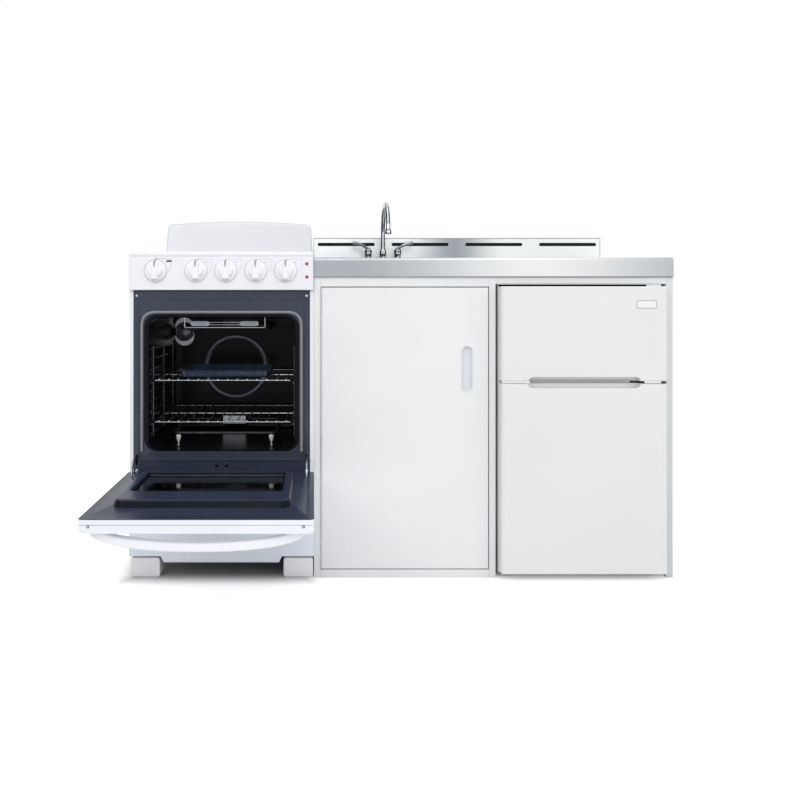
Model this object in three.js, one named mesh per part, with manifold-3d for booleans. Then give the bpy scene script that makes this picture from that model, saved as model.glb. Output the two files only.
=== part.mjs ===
// All-in-one kitchenette: an electric range with four coil heaters and an oven, a steel
// sink base with one door, and a small two-door fridge-freezer under one stainless top.
// Millimetres, +Z up, the front faces -Y, the oven door stands open.
// Sizes below are laid out from the range's left side (X = 0), the plane of the cabinet's
// front (Y = 0) and the floor (Z = 0). The group is then moved so that its origin is on
// the floor under the middle of the whole outline.

import * as THREE from "three";
import { mergeVertices } from "three/addons/utils/BufferGeometryUtils.js";
import Module from "manifold-3d";

const wasm = await Module();
wasm.setup();

// ---------------------------------------------------------------- driving dimensions

// Clearances
const touchGap = 0.3; // between pieces that lie against each other
const runGap = 0.6; // round a part that turns or slides
const cutOver = 1; // how far a cutting body runs past what it cuts

// Whole unit
const rangeWidth = 521.6;
const unitJoint = 0.4; // between the range and the cabinet
const topWidth = 1016; // stainless top over the cabinet and the fridge
const backPlane = 629.5;
const worktopHeight = 905;
const topFold = 55; // height of the worktop's folded edge
const rimOverTop = 16; // the hob's rim stands this much over the worktop

// Range body
const sheet = 1.5; // painted sheet steel
const casingReturn = 11; // front edge of each side, seen as a white strip
const casingBottom = 62;
const cooktopHeight = 22;
const cooktopRim = 12;
const cooktopRecess = 6;
const cooktopFieldRadius = 20;
const kickTop = 262;
const kickProud = 10;
const kickSkirtDrop = 17;
const kickSkirtInset = 90;
const kickSkirtSlant = 8;
const footWidth = 84;
const footHeight = 56;
const footLength = 60;
const footRadius = 8;
const footInset = 2;
const levellerRadius = 9.5;
const rearRailInset = 20;
const rearRailLength = 45;

// Control panel and knobs
const panelHeight = 108;
const panelProud = 14;
const panelDepth = 30;
const panelEdgeRadius = 14;
const knobBelowRim = 54;
const knobRadius = 30;
const knobSkirt = 5;
const knobBody = 22;
const knobDepth = 25;
const knobGrip = 19;
const shaftRadius = 3;
const shaftLength = 16;
const ovenKnobFromLeft = 76;
const hobKnobFromRight = 79.6;
const hobKnobPitch = 84;
const hobCount = 4;
const lampFromRight = 19.6;
const lampRadius = 4.5;
const lampStem = 3;
const lampUpperBelowRim = 34;
const lampLowerBelowRim = 71;

// Hob
const bigCoilRadius = 94;
const smallCoilRadius = 73;
const coilTube = 3.6;
const coilPitch = 17;
const coilSteps = 12;
const coilSides = 5;
const bowlOverCoil = 10;
const bowlFlange = 9;
const bowlDepth = 20;
const bowlSheet = 1;
const bowlHole = 18;
const trivetBar = 3;
const trivetHeight = 4;
const hobSideInset = 134;
const hobFrontY = 160;
const hobRearY = 425;

// Backguard
const guardHeight = 132;
const guardArch = 10;
const guardDepth = 40;
const guardTaper = 9;
const guardRadius = 14;

// Oven front, cavity and gasket
const frameBottom = 263;
const frameSheet = 2;
const mouthFromSide = 41.3;
const mouthBottom = 356;
const mouthBelowPanel = 68;
const mouthRadius = 38;
const cavityFromMouth = 14; // the box is this much narrower than the mouth on each side
const cavityOverMouth = 4; // its floor over the mouth's lower edge
const cavityUnderMouth = 10; // its ceiling under the mouth's upper edge
const cavityDepth = 450;
const cavityFlange = 10;
const embossShare = 0.288; // of the box's height, for the emboss's radius
const embossRing = 17;
const embossHeight = 3;
const gasketTube = 8;
const gasketOffset = 6;
const gasketRadius = 40;
const frameHoleWidth = 10;
const frameHoleHeight = 6;
const frameHolePitch = 28;
const frameHoleZ = 315;

// Oven racks, pan, heaters and lamp
const rackSideGap = 4;
const rackDepth = 400;
const rackFront = 24;
const upperRackOverFloor = 195;
const lowerRackOverFloor = 76;
const rackRail = 2.6;
const rackWire = 1.6;
const rackWireMargin = 15;
const rackWirePitch = 28;
const ledgeWidth = 9;
const ledgeHeight = 5;
const panWidth = 282;
const panLength = 245;
const panHeight = 22;
const panTaper = 15;
const panRim = 8;
const panFront = 66;
const panSheet = 1.5;
const heaterTube = 4;
const heaterFront = 92;
const heaterFoot = 47;
const heaterBend = 22;
const heaterLeg = 8;
const heaterPost = 6;
const heaterStrap = 3;
const heaterPlate = 2;
const bakeOverFloor = 35;
const broilUnderCeiling = 31;
const bakeWidth = 300;
const broilWidth = 262;
const terminalPitch = 78;
const heaterPlateHeight = 27;
const ovenLampFromSide = 30.7;
const ovenLampUnderCeiling = 54;
const ovenLampWidth = 58;
const ovenLampHeight = 97;
const ovenLampLens = 24;
const ovenLampPlate = 4;

// Oven door, drawn open. Its pivot runs along X under the oven's mouth.
const pivotY = -21.5;
const pivotZ = 293;
const doorSideGap = 0.3;
const doorTopGap = 4;
const doorBelowPivot = 10;
const doorThick = 32;
const flangeOverPivot = 8; // from the pivot to the door's inner flange
const linerRise = 4;
const linerSide = 22;
const linerEnd = 26;
const plateauRise = 8;
const plateauInMouth = 4.5; // clearance to the mouth on each side with the door shut
const plateauRadius = 24;
const linerRadius = 16;
const plateauNear = 40; // from the pivot to the plateau's near edge
const plateauFar = 424;
const doorWindowWidth = 362;
const doorWindowNear = 92;
const doorWindowFar = 316;
const doorSheet = 2;
const doorGlass = 4;
const doorRadius = 9;
const handleFromSide = 19.5;
const handleFoot = 33;
const handleDrop = 47;
const handleThick = 20;
const handleWidth = 24;
const handleFromEnd = 20;
const hingeArmThick = 4;
const hingeArmInset = 18;
const hingeArmInner = 42;
const hingeArmOuter = 52;
const hingeArmTip = 50; // degrees above the horizontal where the arm's tip lies

// Cabinet
const stileWidth = 19;
const frameDepth = 18;
const frameSkin = 1.6;
const topRailHeight = 27;
const bottomRailHeight = 22;
const bayRailHeight = 19;
const cabinetWidth = 514;
const endPanelWidth = 20;
const cabinetGap = 2.5;
const carcassSheet = 1.6;
const carcassFloor = 20;
const pullWidth = 35;
const pullHeight = 134;
const pullRim = 2.5;
const pullDepth = 13;
const pullFromEdge = 60;
const pullBelowTop = 230.5;
const hingeBarrel = 1.8;
const hingeLeaf = 0.8;

// Worktop, sink, splashback
const topSheet = 2;
const topProud = 5.5;
const topEdgeRadius = 8;
const bowlWidth = 400;
const bowlLength = 340;
const sinkDepth = 150;
const sinkRadius = 60;
const sinkFromLeft = 241;
const sinkY = 320;
const sinkLip = 12;
const drainRadius = 45;
const strainerFlange = 52;
const strainerDrop = 40;
const splashHeight = 102;
const splashDepth = 24;
const slotLength = 202;
const slotHeight = 11.5;
const slotPitch = 261.5;
const slotCount = 4;
const slotBelowTop = 23;

// Tap
const tapY = 552;
const tapPitch = 51;
const tapBaseWidth = 152;
const tapBaseLength = 50;
const tapBaseHeight = 6;
const tapColumnRadius = 13;
const tapColumnHeight = 40;
const spoutRadius = 8;
const spoutReach = 206;
const spoutRise = 100; // from the worktop to where the spout starts to bend
const spoutTipRise = 95;
const aeratorRadius = 11;
const aeratorLength = 18;
const leverHub = 13;
const leverHubHeight = 18;
const leverLength = 51;
const leverRise = 20;
const leverThick = 7;

// Fridge-freezer
const fridgeWidth = 462;
const fridgeSideGap = 7;
const fridgeBottom = 14;
const fridgeDepth = 500;
const fridgeSheet = 2;
const fridgeDoorThick = 42;
const fridgeDoorGap = 4;
const fridgeSealThick = 3.5;
const fridgeSealInset = 10;
const fridgeSealWidth = 14;
const freezerDoorHeight = 264;
const doorUnderTop = 7.7;
const coolerBottom = 22;
const doorsGap = 7;
const doorEdgeRadius = 12;
const gripLength = 315;
const gripHeight = 31;
const gripDepth = 26;
const gripFromLeft = 73;
const fridgeWall = 34;
const compartmentDepth = 430;
const stepDepth = 300;
const stepTop = 235;
const shelfZ = 380;
const shelfThick = 5;
const fridgeHingeInset = 10;
const fridgeHingePivotY = -31;
const fridgeHingePin = 3;
const fridgeHingePlate = 4;
const fridgeHingeLength = 90;
const fridgeFootRadius = 15;
const compressorRadius = 78;
const compressorHeight = 155;
const compressorSetback = 100;

// ---------------------------------------------------------------- values that follow

const rangeMiddle = rangeWidth / 2;
const rimHeight = worktopHeight + rimOverTop;
const cabinetTop = worktopHeight - topFold;
const panelBottom = rimHeight - panelHeight;
const knobHeight = rimHeight - knobBelowRim;
const hobKnobX = rangeWidth - hobKnobFromRight - (hobCount - 1) * hobKnobPitch;
const lampX = rangeWidth - lampFromRight;
const lampUpperZ = rimHeight - lampUpperBelowRim;
const lampLowerZ = rimHeight - lampLowerBelowRim;
const mouthWidth = rangeWidth - 2 * mouthFromSide;
const mouthTop = panelBottom - mouthBelowPanel;
const cavityWidth = mouthWidth - 2 * cavityFromMouth;
const cavityBottom = mouthBottom + cavityOverMouth;
const cavityTop = mouthTop - cavityUnderMouth;
const upperRackZ = cavityBottom + upperRackOverFloor;
const lowerRackZ = cavityBottom + lowerRackOverFloor;
const rackWidth = cavityWidth - 2 * rackSideGap;
const rackWireCount = Math.floor((rackWidth - 2 * rackWireMargin) / rackWirePitch) + 1;
const bakeZ = cavityBottom + bakeOverFloor;
const broilZ = cavityTop - broilUnderCeiling;
const embossRadius = embossShare * (cavityTop - cavityBottom);
const ovenLampX = rangeMiddle - cavityWidth / 2 + ovenLampFromSide;
const ovenLampZ = cavityTop - ovenLampUnderCeiling;
const doorWidth = rangeWidth - 2 * doorSideGap;
const doorLength = panelBottom - doorTopGap - (pivotZ - doorBelowPivot);
const plateauWidth = mouthWidth - 2 * plateauInMouth;
const handleSpan = doorWidth - 2 * handleFromSide;
const cabinetX = rangeWidth + unitJoint;
const unitRight = cabinetX + topWidth;
const sinkX = cabinetX + sinkFromLeft;
const spoutBend = worktopHeight + spoutRise;
const spoutTip = worktopHeight + spoutTipRise;
const cabinetRight = cabinetX + cabinetWidth;
const endPanelX = unitRight - endPanelWidth;
const cooktopBottom = rimHeight - cooktopHeight;
const panelFront = -panelProud;
const panelBack = panelFront + panelDepth;
const cooktopFront = panelBack + touchGap;
const guardFront = backPlane - guardDepth;
const doorRear = pivotY + doorBelowPivot;
const doorFront = doorRear - doorLength;
const doorFlangeZ = pivotZ + flangeOverPivot;
const doorOuterZ = doorFlangeZ - doorThick;
const doorLinerZ = doorFlangeZ + linerRise;
const doorPlateauZ = doorLinerZ + plateauRise;
const hobRecessZ = rimHeight - cooktopRecess;
const knobAxisY = panelFront - touchGap;

// ---------------------------------------------------------------- solids

// A closed geometry as a solid of the boolean library, with its faces turned out.
function solid(geometry) {
  const bare = geometry.index ? geometry.toNonIndexed() : geometry.clone();
  bare.deleteAttribute("normal");
  bare.deleteAttribute("uv");
  const merged = mergeVertices(bare, 1e-4);
  const vertProperties = merged.attributes.position.array;
  const triVerts = new Uint32Array(merged.index.array);
  const made = new wasm.Manifold(new wasm.Mesh({ numProp: 3, vertProperties, triVerts }));
  if (made.volume() > 0) return made;
  for (let i = 0; i < triVerts.length; i += 3) {
    [triVerts[i + 1], triVerts[i + 2]] = [triVerts[i + 2], triVerts[i + 1]];
  }
  return new wasm.Manifold(new wasm.Mesh({ numProp: 3, vertProperties, triVerts }));
}

const join = (...solids) => solids.reduce((whole, piece) => whole.add(piece));
const cut = (body, ...tools) => tools.reduce((left, tool) => left.subtract(tool), body);

function block(x0, x1, y0, y1, z0, z1) {
  const geometry = new THREE.BoxGeometry(x1 - x0, y1 - y0, z1 - z0);
  return solid(geometry.translate((x0 + x1) / 2, (y0 + y1) / 2, (z0 + z1) / 2));
}

// A shape drawn in X and Z, drawn out along Y.
function alongY(shape, y0, y1, segments = 3) {
  const geometry = new THREE.ExtrudeGeometry(shape, {
    depth: y1 - y0,
    bevelEnabled: false,
    curveSegments: segments,
  });
  return solid(geometry.rotateX(Math.PI / 2).translate(0, y1, 0));
}

// A shape drawn in Y and Z, drawn out along X.
function alongX(shape, x0, x1, segments = 3) {
  const geometry = new THREE.ExtrudeGeometry(shape, {
    depth: x1 - x0,
    bevelEnabled: false,
    curveSegments: segments,
  });
  const turn = new THREE.Matrix4().makeBasis(
    new THREE.Vector3(0, 1, 0),
    new THREE.Vector3(0, 0, 1),
    new THREE.Vector3(1, 0, 0),
  );
  return solid(geometry.applyMatrix4(turn).translate(x0, 0, 0));
}

// A shape drawn in X and Y, drawn out along Z.
function alongZ(shape, z0, z1, segments = 3) {
  const geometry = new THREE.ExtrudeGeometry(shape, {
    depth: z1 - z0,
    bevelEnabled: false,
    curveSegments: segments,
  });
  return solid(geometry.translate(0, 0, z0));
}

// A profile of [radius, height] pairs turned round the vertical through (x, y).
function turned(profile, x, y, z, segments = 20) {
  const points = profile.map(([radius, height]) => new THREE.Vector2(radius, height));
  const geometry = new THREE.LatheGeometry(points, segments);
  return solid(geometry.rotateX(Math.PI / 2).translate(x, y, z));
}

// The same profile turned round an axis that runs towards -Y from (x, y, z).
function turnedForward(profile, x, y, z, segments = 20) {
  const points = profile.map(([radius, height]) => new THREE.Vector2(radius, height));
  const geometry = new THREE.LatheGeometry(points, segments);
  return solid(geometry.rotateX(Math.PI).translate(x, y, z));
}

function roundedRect(x0, x1, y0, y1, radius) {
  const shape = new THREE.Shape();
  shape.moveTo(x0 + radius, y0);
  shape.lineTo(x1 - radius, y0);
  shape.absarc(x1 - radius, y0 + radius, radius, -Math.PI / 2, 0);
  shape.lineTo(x1, y1 - radius);
  shape.absarc(x1 - radius, y1 - radius, radius, 0, Math.PI / 2);
  shape.lineTo(x0 + radius, y1);
  shape.absarc(x0 + radius, y1 - radius, radius, Math.PI / 2, Math.PI);
  shape.lineTo(x0, y0 + radius);
  shape.absarc(x0 + radius, y0 + radius, radius, Math.PI, 1.5 * Math.PI);
  return shape;
}

function polygon(points) {
  return new THREE.Shape(points.map(([x, y]) => new THREE.Vector2(x, y)));
}

function circle(radius, sides) {
  const turn = (2 * Math.PI) / sides;
  const corners = Array.from({ length: sides }, (_, i) => [
    radius * Math.cos(i * turn),
    radius * Math.sin(i * turn),
  ]);
  return polygon(corners);
}

// A round bar along any curve.
function bar(curve, radius, steps, sides = 6) {
  const geometry = new THREE.ExtrudeGeometry(circle(radius, sides), {
    extrudePath: curve,
    steps,
    bevelEnabled: false,
  });
  return solid(geometry);
}

// A straight round bar between two points.
function rod(from, to, radius, sides = 6) {
  const line = new THREE.LineCurve3(new THREE.Vector3(...from), new THREE.Vector3(...to));
  return bar(line, radius, 1, sides);
}

// Straight runs through the points, with each corner bent to the radius.
function bentPath(points, radius) {
  const corners = points.map((point) => new THREE.Vector3(...point));
  const path = new THREE.CurvePath();
  let start = corners[0];
  for (let i = 1; i < corners.length - 1; i += 1) {
    const back = corners[i - 1].clone().sub(corners[i]).setLength(radius).add(corners[i]);
    const on = corners[i + 1].clone().sub(corners[i]).setLength(radius).add(corners[i]);
    path.add(new THREE.LineCurve3(start, back));
    path.add(new THREE.QuadraticBezierCurve3(back, corners[i], on));
    start = on;
  }
  path.add(new THREE.LineCurve3(start, corners[corners.length - 1]));
  return path;
}

// ---------------------------------------------------------------- finishes

const paint = (color, roughness, metalness) => () =>
  new THREE.MeshStandardMaterial({ color, roughness, metalness });
const whiteEnamel = paint(0xe8e9ee, 0.25, 0);
const whiteSteel = paint(0xe4e6e8, 0.35, 0);
const greySteel = paint(0x8f9498, 0.45, 0.4);
const blueEnamel = paint(0x2f3546, 0.3, 0);
const blackEnamel = paint(0x15161b, 0.2, 0);
const chrome = paint(0xc9ccd0, 0.12, 1);
const stainless = paint(0xb9bdc0, 0.3, 0.9);
const castBlack = paint(0x1c1c1e, 0.6, 0.2);
const sealGrey = paint(0x8e8e94, 0.8, 0);
const glass = paint(0x1b1f24, 0.05, 0);
const redLens = paint(0xc8161c, 0.2, 0);
const whitePlastic = paint(0xededed, 0.35, 0);
const footPlastic = paint(0xd8dae0, 0.4, 0);

const assembly = new THREE.Group();

// Turns a finished solid into a named mesh of the assembly.
function place(name, made, finish) {
  const { numProp, vertProperties, triVerts } = made.getMesh();
  const positions = new Float32Array(triVerts.length * 3);
  triVerts.forEach((vertex, i) => {
    for (let k = 0; k < 3; k += 1) positions[3 * i + k] = vertProperties[vertex * numProp + k];
  });
  const geometry = new THREE.BufferGeometry();
  geometry.setAttribute("position", new THREE.BufferAttribute(positions, 3));
  geometry.computeVertexNormals();
  const mesh = new THREE.Mesh(geometry, finish());
  mesh.name = name;
  assembly.add(mesh);
}

// ---------------------------------------------------------------- range body

// Sides and back in one bent sheet, with a narrow return along each front edge.
function rangeCasing() {
  const right = rangeWidth;
  const plan = polygon([
    [0, 0],
    [casingReturn, 0],
    [casingReturn, sheet],
    [sheet, sheet],
    [sheet, backPlane - sheet],
    [right - sheet, backPlane - sheet],
    [right - sheet, sheet],
    [right - casingReturn, sheet],
    [right - casingReturn, 0],
    [right, 0],
    [right, backPlane],
    [0, backPlane],
  ]);
  const bent = alongZ(plan, casingBottom, cooktopBottom);
  const panelNotch = block(
    -cutOver,
    right + cutOver,
    -cutOver,
    cooktopFront,
    panelBottom - touchGap,
    cooktopBottom + cutOver,
  );
  return cut(bent, panelNotch);
}

function rangeBase() {
  const inner = sheet + touchGap;
  return block(inner, rangeWidth - inner, inner, backPlane - inner, casingBottom, casingBottom + 2 * sheet);
}

// White pan under the door, with a skirt that drops lower between the feet.
function kickPanel() {
  const low = casingBottom - kickSkirtDrop;
  const outline = (inset) =>
    polygon([
      [inset, casingBottom + inset],
      [kickSkirtInset + inset, casingBottom + inset],
      [kickSkirtInset + kickSkirtSlant + inset, low + inset],
      [rangeWidth - kickSkirtInset - kickSkirtSlant - inset, low + inset],
      [rangeWidth - kickSkirtInset - inset, casingBottom + inset],
      [rangeWidth - inset, casingBottom + inset],
      [rangeWidth - inset, kickTop - inset],
      [inset, kickTop - inset],
    ]);
  const shell = alongY(outline(0), -kickProud, 0);
  const hollow = alongY(outline(sheet), sheet - kickProud, cutOver);
  return cut(shell, hollow);
}

// Moulded foot with a levelling disc that meets the base pan.
function foot(x0) {
  const x1 = x0 + footWidth;
  const x = (x0 + x1) / 2;
  const y = sheet + footLength / 2;
  const moulding = alongY(roundedRect(x0, x1, 0, footHeight, footRadius), sheet, sheet + footLength);
  const neck = casingBottom - footHeight;
  const profile = [[0, -1], [levellerRadius, -1], [levellerRadius, neck], [0, neck]];
  const disc = turned(profile, x, y, footHeight, 16);
  return join(moulding, disc);
}

function rearFootRail() {
  const x1 = rangeWidth - rearRailInset;
  const y0 = backPlane - rearRailLength - rearRailInset;
  const y1 = y0 + rearRailLength;
  const channel = block(rearRailInset, x1, y0, y1, 0, casingBottom);
  const wall = 2 * sheet;
  const inside = block(
    rearRailInset - cutOver,
    x1 + cutOver,
    y0 + wall,
    y1 - wall,
    wall,
    casingBottom - wall,
  );
  return cut(channel, inside);
}

// Pressed hob top: raised rim, sunk field, four holes for the drip bowls.
function cooktop() {
  const wall = 2 * sheet;
  const body = block(0, rangeWidth, cooktopFront, backPlane, cooktopBottom, rimHeight);
  const field = alongZ(
    roundedRect(
      cooktopRim,
      rangeWidth - cooktopRim,
      cooktopFront + cooktopRim,
      guardFront - cooktopRim,
      cooktopFieldRadius,
    ),
    hobRecessZ,
    rimHeight + cutOver,
  );
  const hollow = block(
    wall,
    rangeWidth - wall,
    cooktopFront + wall,
    backPlane - wall,
    cooktopBottom - cutOver,
    hobRecessZ - wall,
  );
  const low = -cutOver - wall;
  const holes = hobs.map(({ x, y, radius }) => {
    const reach = radius + bowlOverCoil;
    return turned([[0, low], [reach, low], [reach, cutOver], [0, cutOver]], x, y, hobRecessZ, 18);
  });
  return cut(body, field, hollow, ...holes);
}

const hobs = [
  { name: "front_left", x: hobSideInset, y: hobFrontY, radius: bigCoilRadius },
  { name: "rear_left", x: hobSideInset, y: hobRearY, radius: smallCoilRadius },
  { name: "rear_right", x: rangeWidth - hobSideInset, y: hobRearY, radius: bigCoilRadius },
  { name: "front_right", x: rangeWidth - hobSideInset, y: hobFrontY, radius: smallCoilRadius },
];

// Chrome bowl that hangs in its hole by a flange.
function dripBowl({ x, y, radius }) {
  const wallR = radius + bowlOverCoil - runGap;
  const lipR = wallR + bowlFlange;
  const profile = [
    [bowlHole, -bowlDepth],
    [wallR, -bowlDepth / 3],
    [wallR, 0],
    [lipR, 0],
    [lipR, bowlSheet],
    [wallR - bowlSheet, bowlSheet],
    [wallR - bowlSheet, -bowlDepth / 3],
    [bowlHole, bowlSheet - bowlDepth],
    [bowlHole, -bowlDepth],
  ];
  return turned(profile, x, y, hobRecessZ, 18);
}

class Spiral extends THREE.Curve {
  constructor(inner, outer, x, y, z) {
    super();
    Object.assign(this, { inner, outer, x, y, z });
    this.turns = Math.floor((outer - inner) / coilPitch);
  }

  getPoint(t, target = new THREE.Vector3()) {
    const angle = t * this.turns * 2 * Math.PI;
    const radius = this.inner + (this.outer - this.inner) * t;
    return target.set(this.x + radius * Math.cos(angle), this.y + radius * Math.sin(angle), this.z);
  }
}

// Spiral tube on a three-armed trivet whose arms rest on the drip bowl's flange.
function coilHeater({ x, y, radius }) {
  const seat = hobRecessZ + bowlSheet + touchGap;
  const spiral = new Spiral(coilPitch + coilTube, radius, x, y, seat + trivetHeight + coilTube * 0.6);
  const tube = bar(spiral, coilTube, spiral.turns * coilSteps, coilSides);
  const reach = radius + bowlOverCoil + bowlFlange / 2;
  const arm = polygon([
    [0, -trivetBar / 2],
    [reach, -trivetBar / 2],
    [reach, trivetBar / 2],
    [0, trivetBar / 2],
  ]);
  const arms = [0, 1, 2].map((i) => {
    const turn = (i * 2 * Math.PI) / 3 + Math.PI / 2;
    const geometry = new THREE.ExtrudeGeometry(arm, { depth: trivetHeight, bevelEnabled: false });
    return solid(geometry.rotateZ(turn).translate(x, y, seat));
  });
  return join(tube, ...arms);
}

// Raised back of the range, slightly narrower at the top, with an arched top edge.
function backguard() {
  const outline = (inset) => {
    const left = guardTaper + inset;
    const right = rangeWidth - guardTaper - inset;
    const top = rimHeight + guardHeight - inset;
    const shape = new THREE.Shape();
    shape.moveTo(inset, rimHeight + inset);
    shape.lineTo(rangeWidth - inset, rimHeight + inset);
    shape.lineTo(right, top - guardRadius);
    shape.quadraticCurveTo(right, top, right - guardRadius, top);
    shape.quadraticCurveTo(rangeMiddle, top + 2 * guardArch, left + guardRadius, top);
    shape.quadraticCurveTo(left, top, left, top - guardRadius);
    return shape;
  };
  const shell = alongY(outline(0), guardFront, backPlane, 8);
  const hollow = alongY(outline(sheet), guardFront + sheet, backPlane + cutOver, 8);
  return cut(shell, hollow);
}

// ---------------------------------------------------------------- control panel

// Sheet-metal box that is open at the back, with its top front edge rounded.
function controlPanel() {
  const top = rimHeight;
  const radius = panelEdgeRadius;
  const section = (inset, back) => {
    const shape = new THREE.Shape();
    shape.moveTo(panelFront + inset, panelBottom + inset);
    shape.lineTo(back, panelBottom + inset);
    shape.lineTo(back, top - inset);
    shape.lineTo(panelFront + radius, top - inset);
    shape.quadraticCurveTo(panelFront + inset, top - inset, panelFront + inset, top - radius);
    return shape;
  };
  const shell = alongX(section(0, panelBack), 0, rangeWidth, 6);
  const hollow = alongX(section(sheet, panelBack + cutOver), sheet, rangeWidth - sheet, 6);
  const hole = (x, z, radiusHole) =>
    turnedForward(
      [[0, -cutOver], [radiusHole, -cutOver], [radiusHole, sheet + cutOver], [0, sheet + cutOver]],
      x,
      panelFront + sheet,
      z,
      12,
    );
  const knobHoles = knobs.map(({ x }) => hole(x, knobHeight, shaftRadius + runGap));
  const lampHoles = [lampUpperZ, lampLowerZ].map((z) => hole(lampX, z, lampStem + touchGap));
  return cut(shell, hollow, ...knobHoles, ...lampHoles);
}

const knobs = [
  { name: "oven_knob", x: ovenKnobFromLeft },
  ...Array.from({ length: hobCount }, (_, i) => ({
    name: `hob_knob_${i + 1}`,
    x: hobKnobX + i * hobKnobPitch,
  })),
];

// Skirted knob with a grip bar across it and a shaft through the panel.
function knob({ x }) {
  const profile = [
    [0, -shaftLength],
    [shaftRadius, -shaftLength],
    [shaftRadius, 0],
    [knobRadius, 0],
    [knobRadius, knobSkirt * 0.6],
    [knobRadius - 3, knobSkirt],
    [knobBody, knobSkirt + 3],
    [knobBody - 4, knobDepth * 0.6],
    [0, knobDepth * 0.65],
  ];
  const body = turnedForward(profile, x, knobAxisY, knobHeight, 16);
  const grip = block(
    x - knobGrip / 2,
    x + knobGrip / 2,
    knobAxisY - knobDepth,
    knobAxisY - knobSkirt / 2,
    knobHeight - knobBody,
    knobHeight + knobBody,
  );
  return join(body, grip);
}

// Red lens with a stem through the panel.
function indicatorLamp(z) {
  const profile = [
    [0, -10],
    [lampStem, -10],
    [lampStem, 0],
    [lampRadius, 0],
    [lampRadius, 1],
    [lampRadius * 0.6, 3],
    [0, 3.6],
  ];
  return turnedForward(profile, lampX, panelFront - touchGap / 3, z, 12);
}

// ---------------------------------------------------------------- oven

// Enamelled front plate round the mouth, with slots for the door's hinge arms.
function ovenFrontFrame() {
  const x0 = casingReturn + touchGap;
  const plate = block(x0, rangeWidth - x0, 0, frameSheet, frameBottom, panelBottom - touchGap);
  const mouth = alongY(
    roundedRect(
      rangeMiddle - mouthWidth / 2,
      rangeMiddle + mouthWidth / 2,
      mouthBottom,
      mouthTop,
      mouthRadius,
    ),
    -cutOver,
    frameSheet + cutOver,
  );
  const armTop = pivotZ + Math.sqrt(hingeArmOuter ** 2 - pivotY ** 2) + 4;
  const armLow = pivotZ + Math.sqrt(hingeArmInner ** 2 - (frameSheet - pivotY) ** 2) - 4;
  const slots = hingeArmPlaces().map((x) =>
    block(x - runGap, x + hingeArmThick + runGap, -cutOver, frameSheet + cutOver, armLow, armTop),
  );
  const holes = [-1, 1].map((side) => {
    const x = rangeMiddle + (side * frameHolePitch) / 2;
    const shape = roundedRect(
      x - frameHoleWidth / 2,
      x + frameHoleWidth / 2,
      frameHoleZ - frameHoleHeight / 2,
      frameHoleZ + frameHoleHeight / 2,
      frameHoleHeight / 2.2,
    );
    return alongY(shape, -cutOver, frameSheet + cutOver, 2);
  });
  return cut(plate, mouth, ...slots, ...holes);
}

// Oven box: flange behind the front plate, five walls, rack ledges and a round emboss.
function ovenCavity() {
  const x0 = rangeMiddle - cavityWidth / 2;
  const x1 = rangeMiddle + cavityWidth / 2;
  const flangeX = mouthWidth / 2 + cavityFlange;
  const front = frameSheet;
  const flange = block(
    rangeMiddle - flangeX,
    rangeMiddle + flangeX,
    front,
    front + sheet,
    mouthBottom - cavityFlange,
    mouthTop + cavityFlange,
  );
  const back = front + cavityDepth;
  const walls = block(x0 - sheet, x1 + sheet, front, back, cavityBottom - sheet, cavityTop + sheet);
  const hollow = block(x0, x1, front - cutOver, back - sheet, cavityBottom, cavityTop);
  const ledges = [upperRackZ, lowerRackZ].flatMap((rackZ) => {
    const z1 = rackZ - rackRail - touchGap;
    return [
      block(x0 - sheet / 2, x0 + ledgeWidth, rackFront, back - sheet / 2, z1 - ledgeHeight, z1),
      block(x1 - ledgeWidth, x1 + sheet / 2, rackFront, back - sheet / 2, z1 - ledgeHeight, z1),
    ];
  });
  const midZ = (cavityBottom + cavityTop) / 2;
  const inner = embossRadius - embossRing;
  const ring = turnedForward(
    [
      [inner, -sheet / 2],
      [embossRadius, -sheet / 2],
      [embossRadius, embossHeight],
      [inner, embossHeight],
      [inner, -sheet / 2],
    ],
    rangeMiddle,
    back - sheet,
    midZ + embossHeight,
    24,
  );
  return join(cut(join(flange, walls), hollow), ...ledges, ring);
}

// Round braided seal in an upturned U round the mouth.
function ovenGasket() {
  const x = mouthWidth / 2 + gasketOffset;
  const y = -gasketTube / 2 - touchGap / 2;
  const top = mouthTop + gasketOffset;
  const low = mouthBottom + 2;
  const path = bentPath(
    [
      [rangeMiddle - x, y, low],
      [rangeMiddle - x, y, top],
      [rangeMiddle + x, y, top],
      [rangeMiddle + x, y, low],
    ],
    gasketRadius,
  );
  return bar(path, gasketTube / 2, 32, 6);
}

// Wire shelf: three cross rails and two side rails under the long wires.
function ovenRack(z) {
  const x0 = rangeMiddle - rackWidth / 2 + rackRail;
  const x1 = rangeMiddle + rackWidth / 2 - rackRail;
  const y0 = rackFront + rackRail;
  const y1 = rackFront + rackDepth - rackRail;
  const sides = [x0, x1].map((x) => rod([x, y0 - rackRail, z], [x, y1 + rackRail, z], rackRail));
  const rails = [y0, (y0 + y1) / 2, y1].map((y) => rod([x0, y, z], [x1, y, z], rackRail * 0.9, 4));
  const wireZ = z + rackRail;
  const wires = Array.from({ length: rackWireCount }, (_, i) => {
    const x = rangeMiddle + (i - (rackWireCount - 1) / 2) * rackWirePitch;
    return rod([x, y0 - rackRail / 2, wireZ], [x, y1 + rackRail / 2, wireZ], rackWire, 4);
  });
  return join(...sides, ...rails, ...wires);
}

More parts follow.
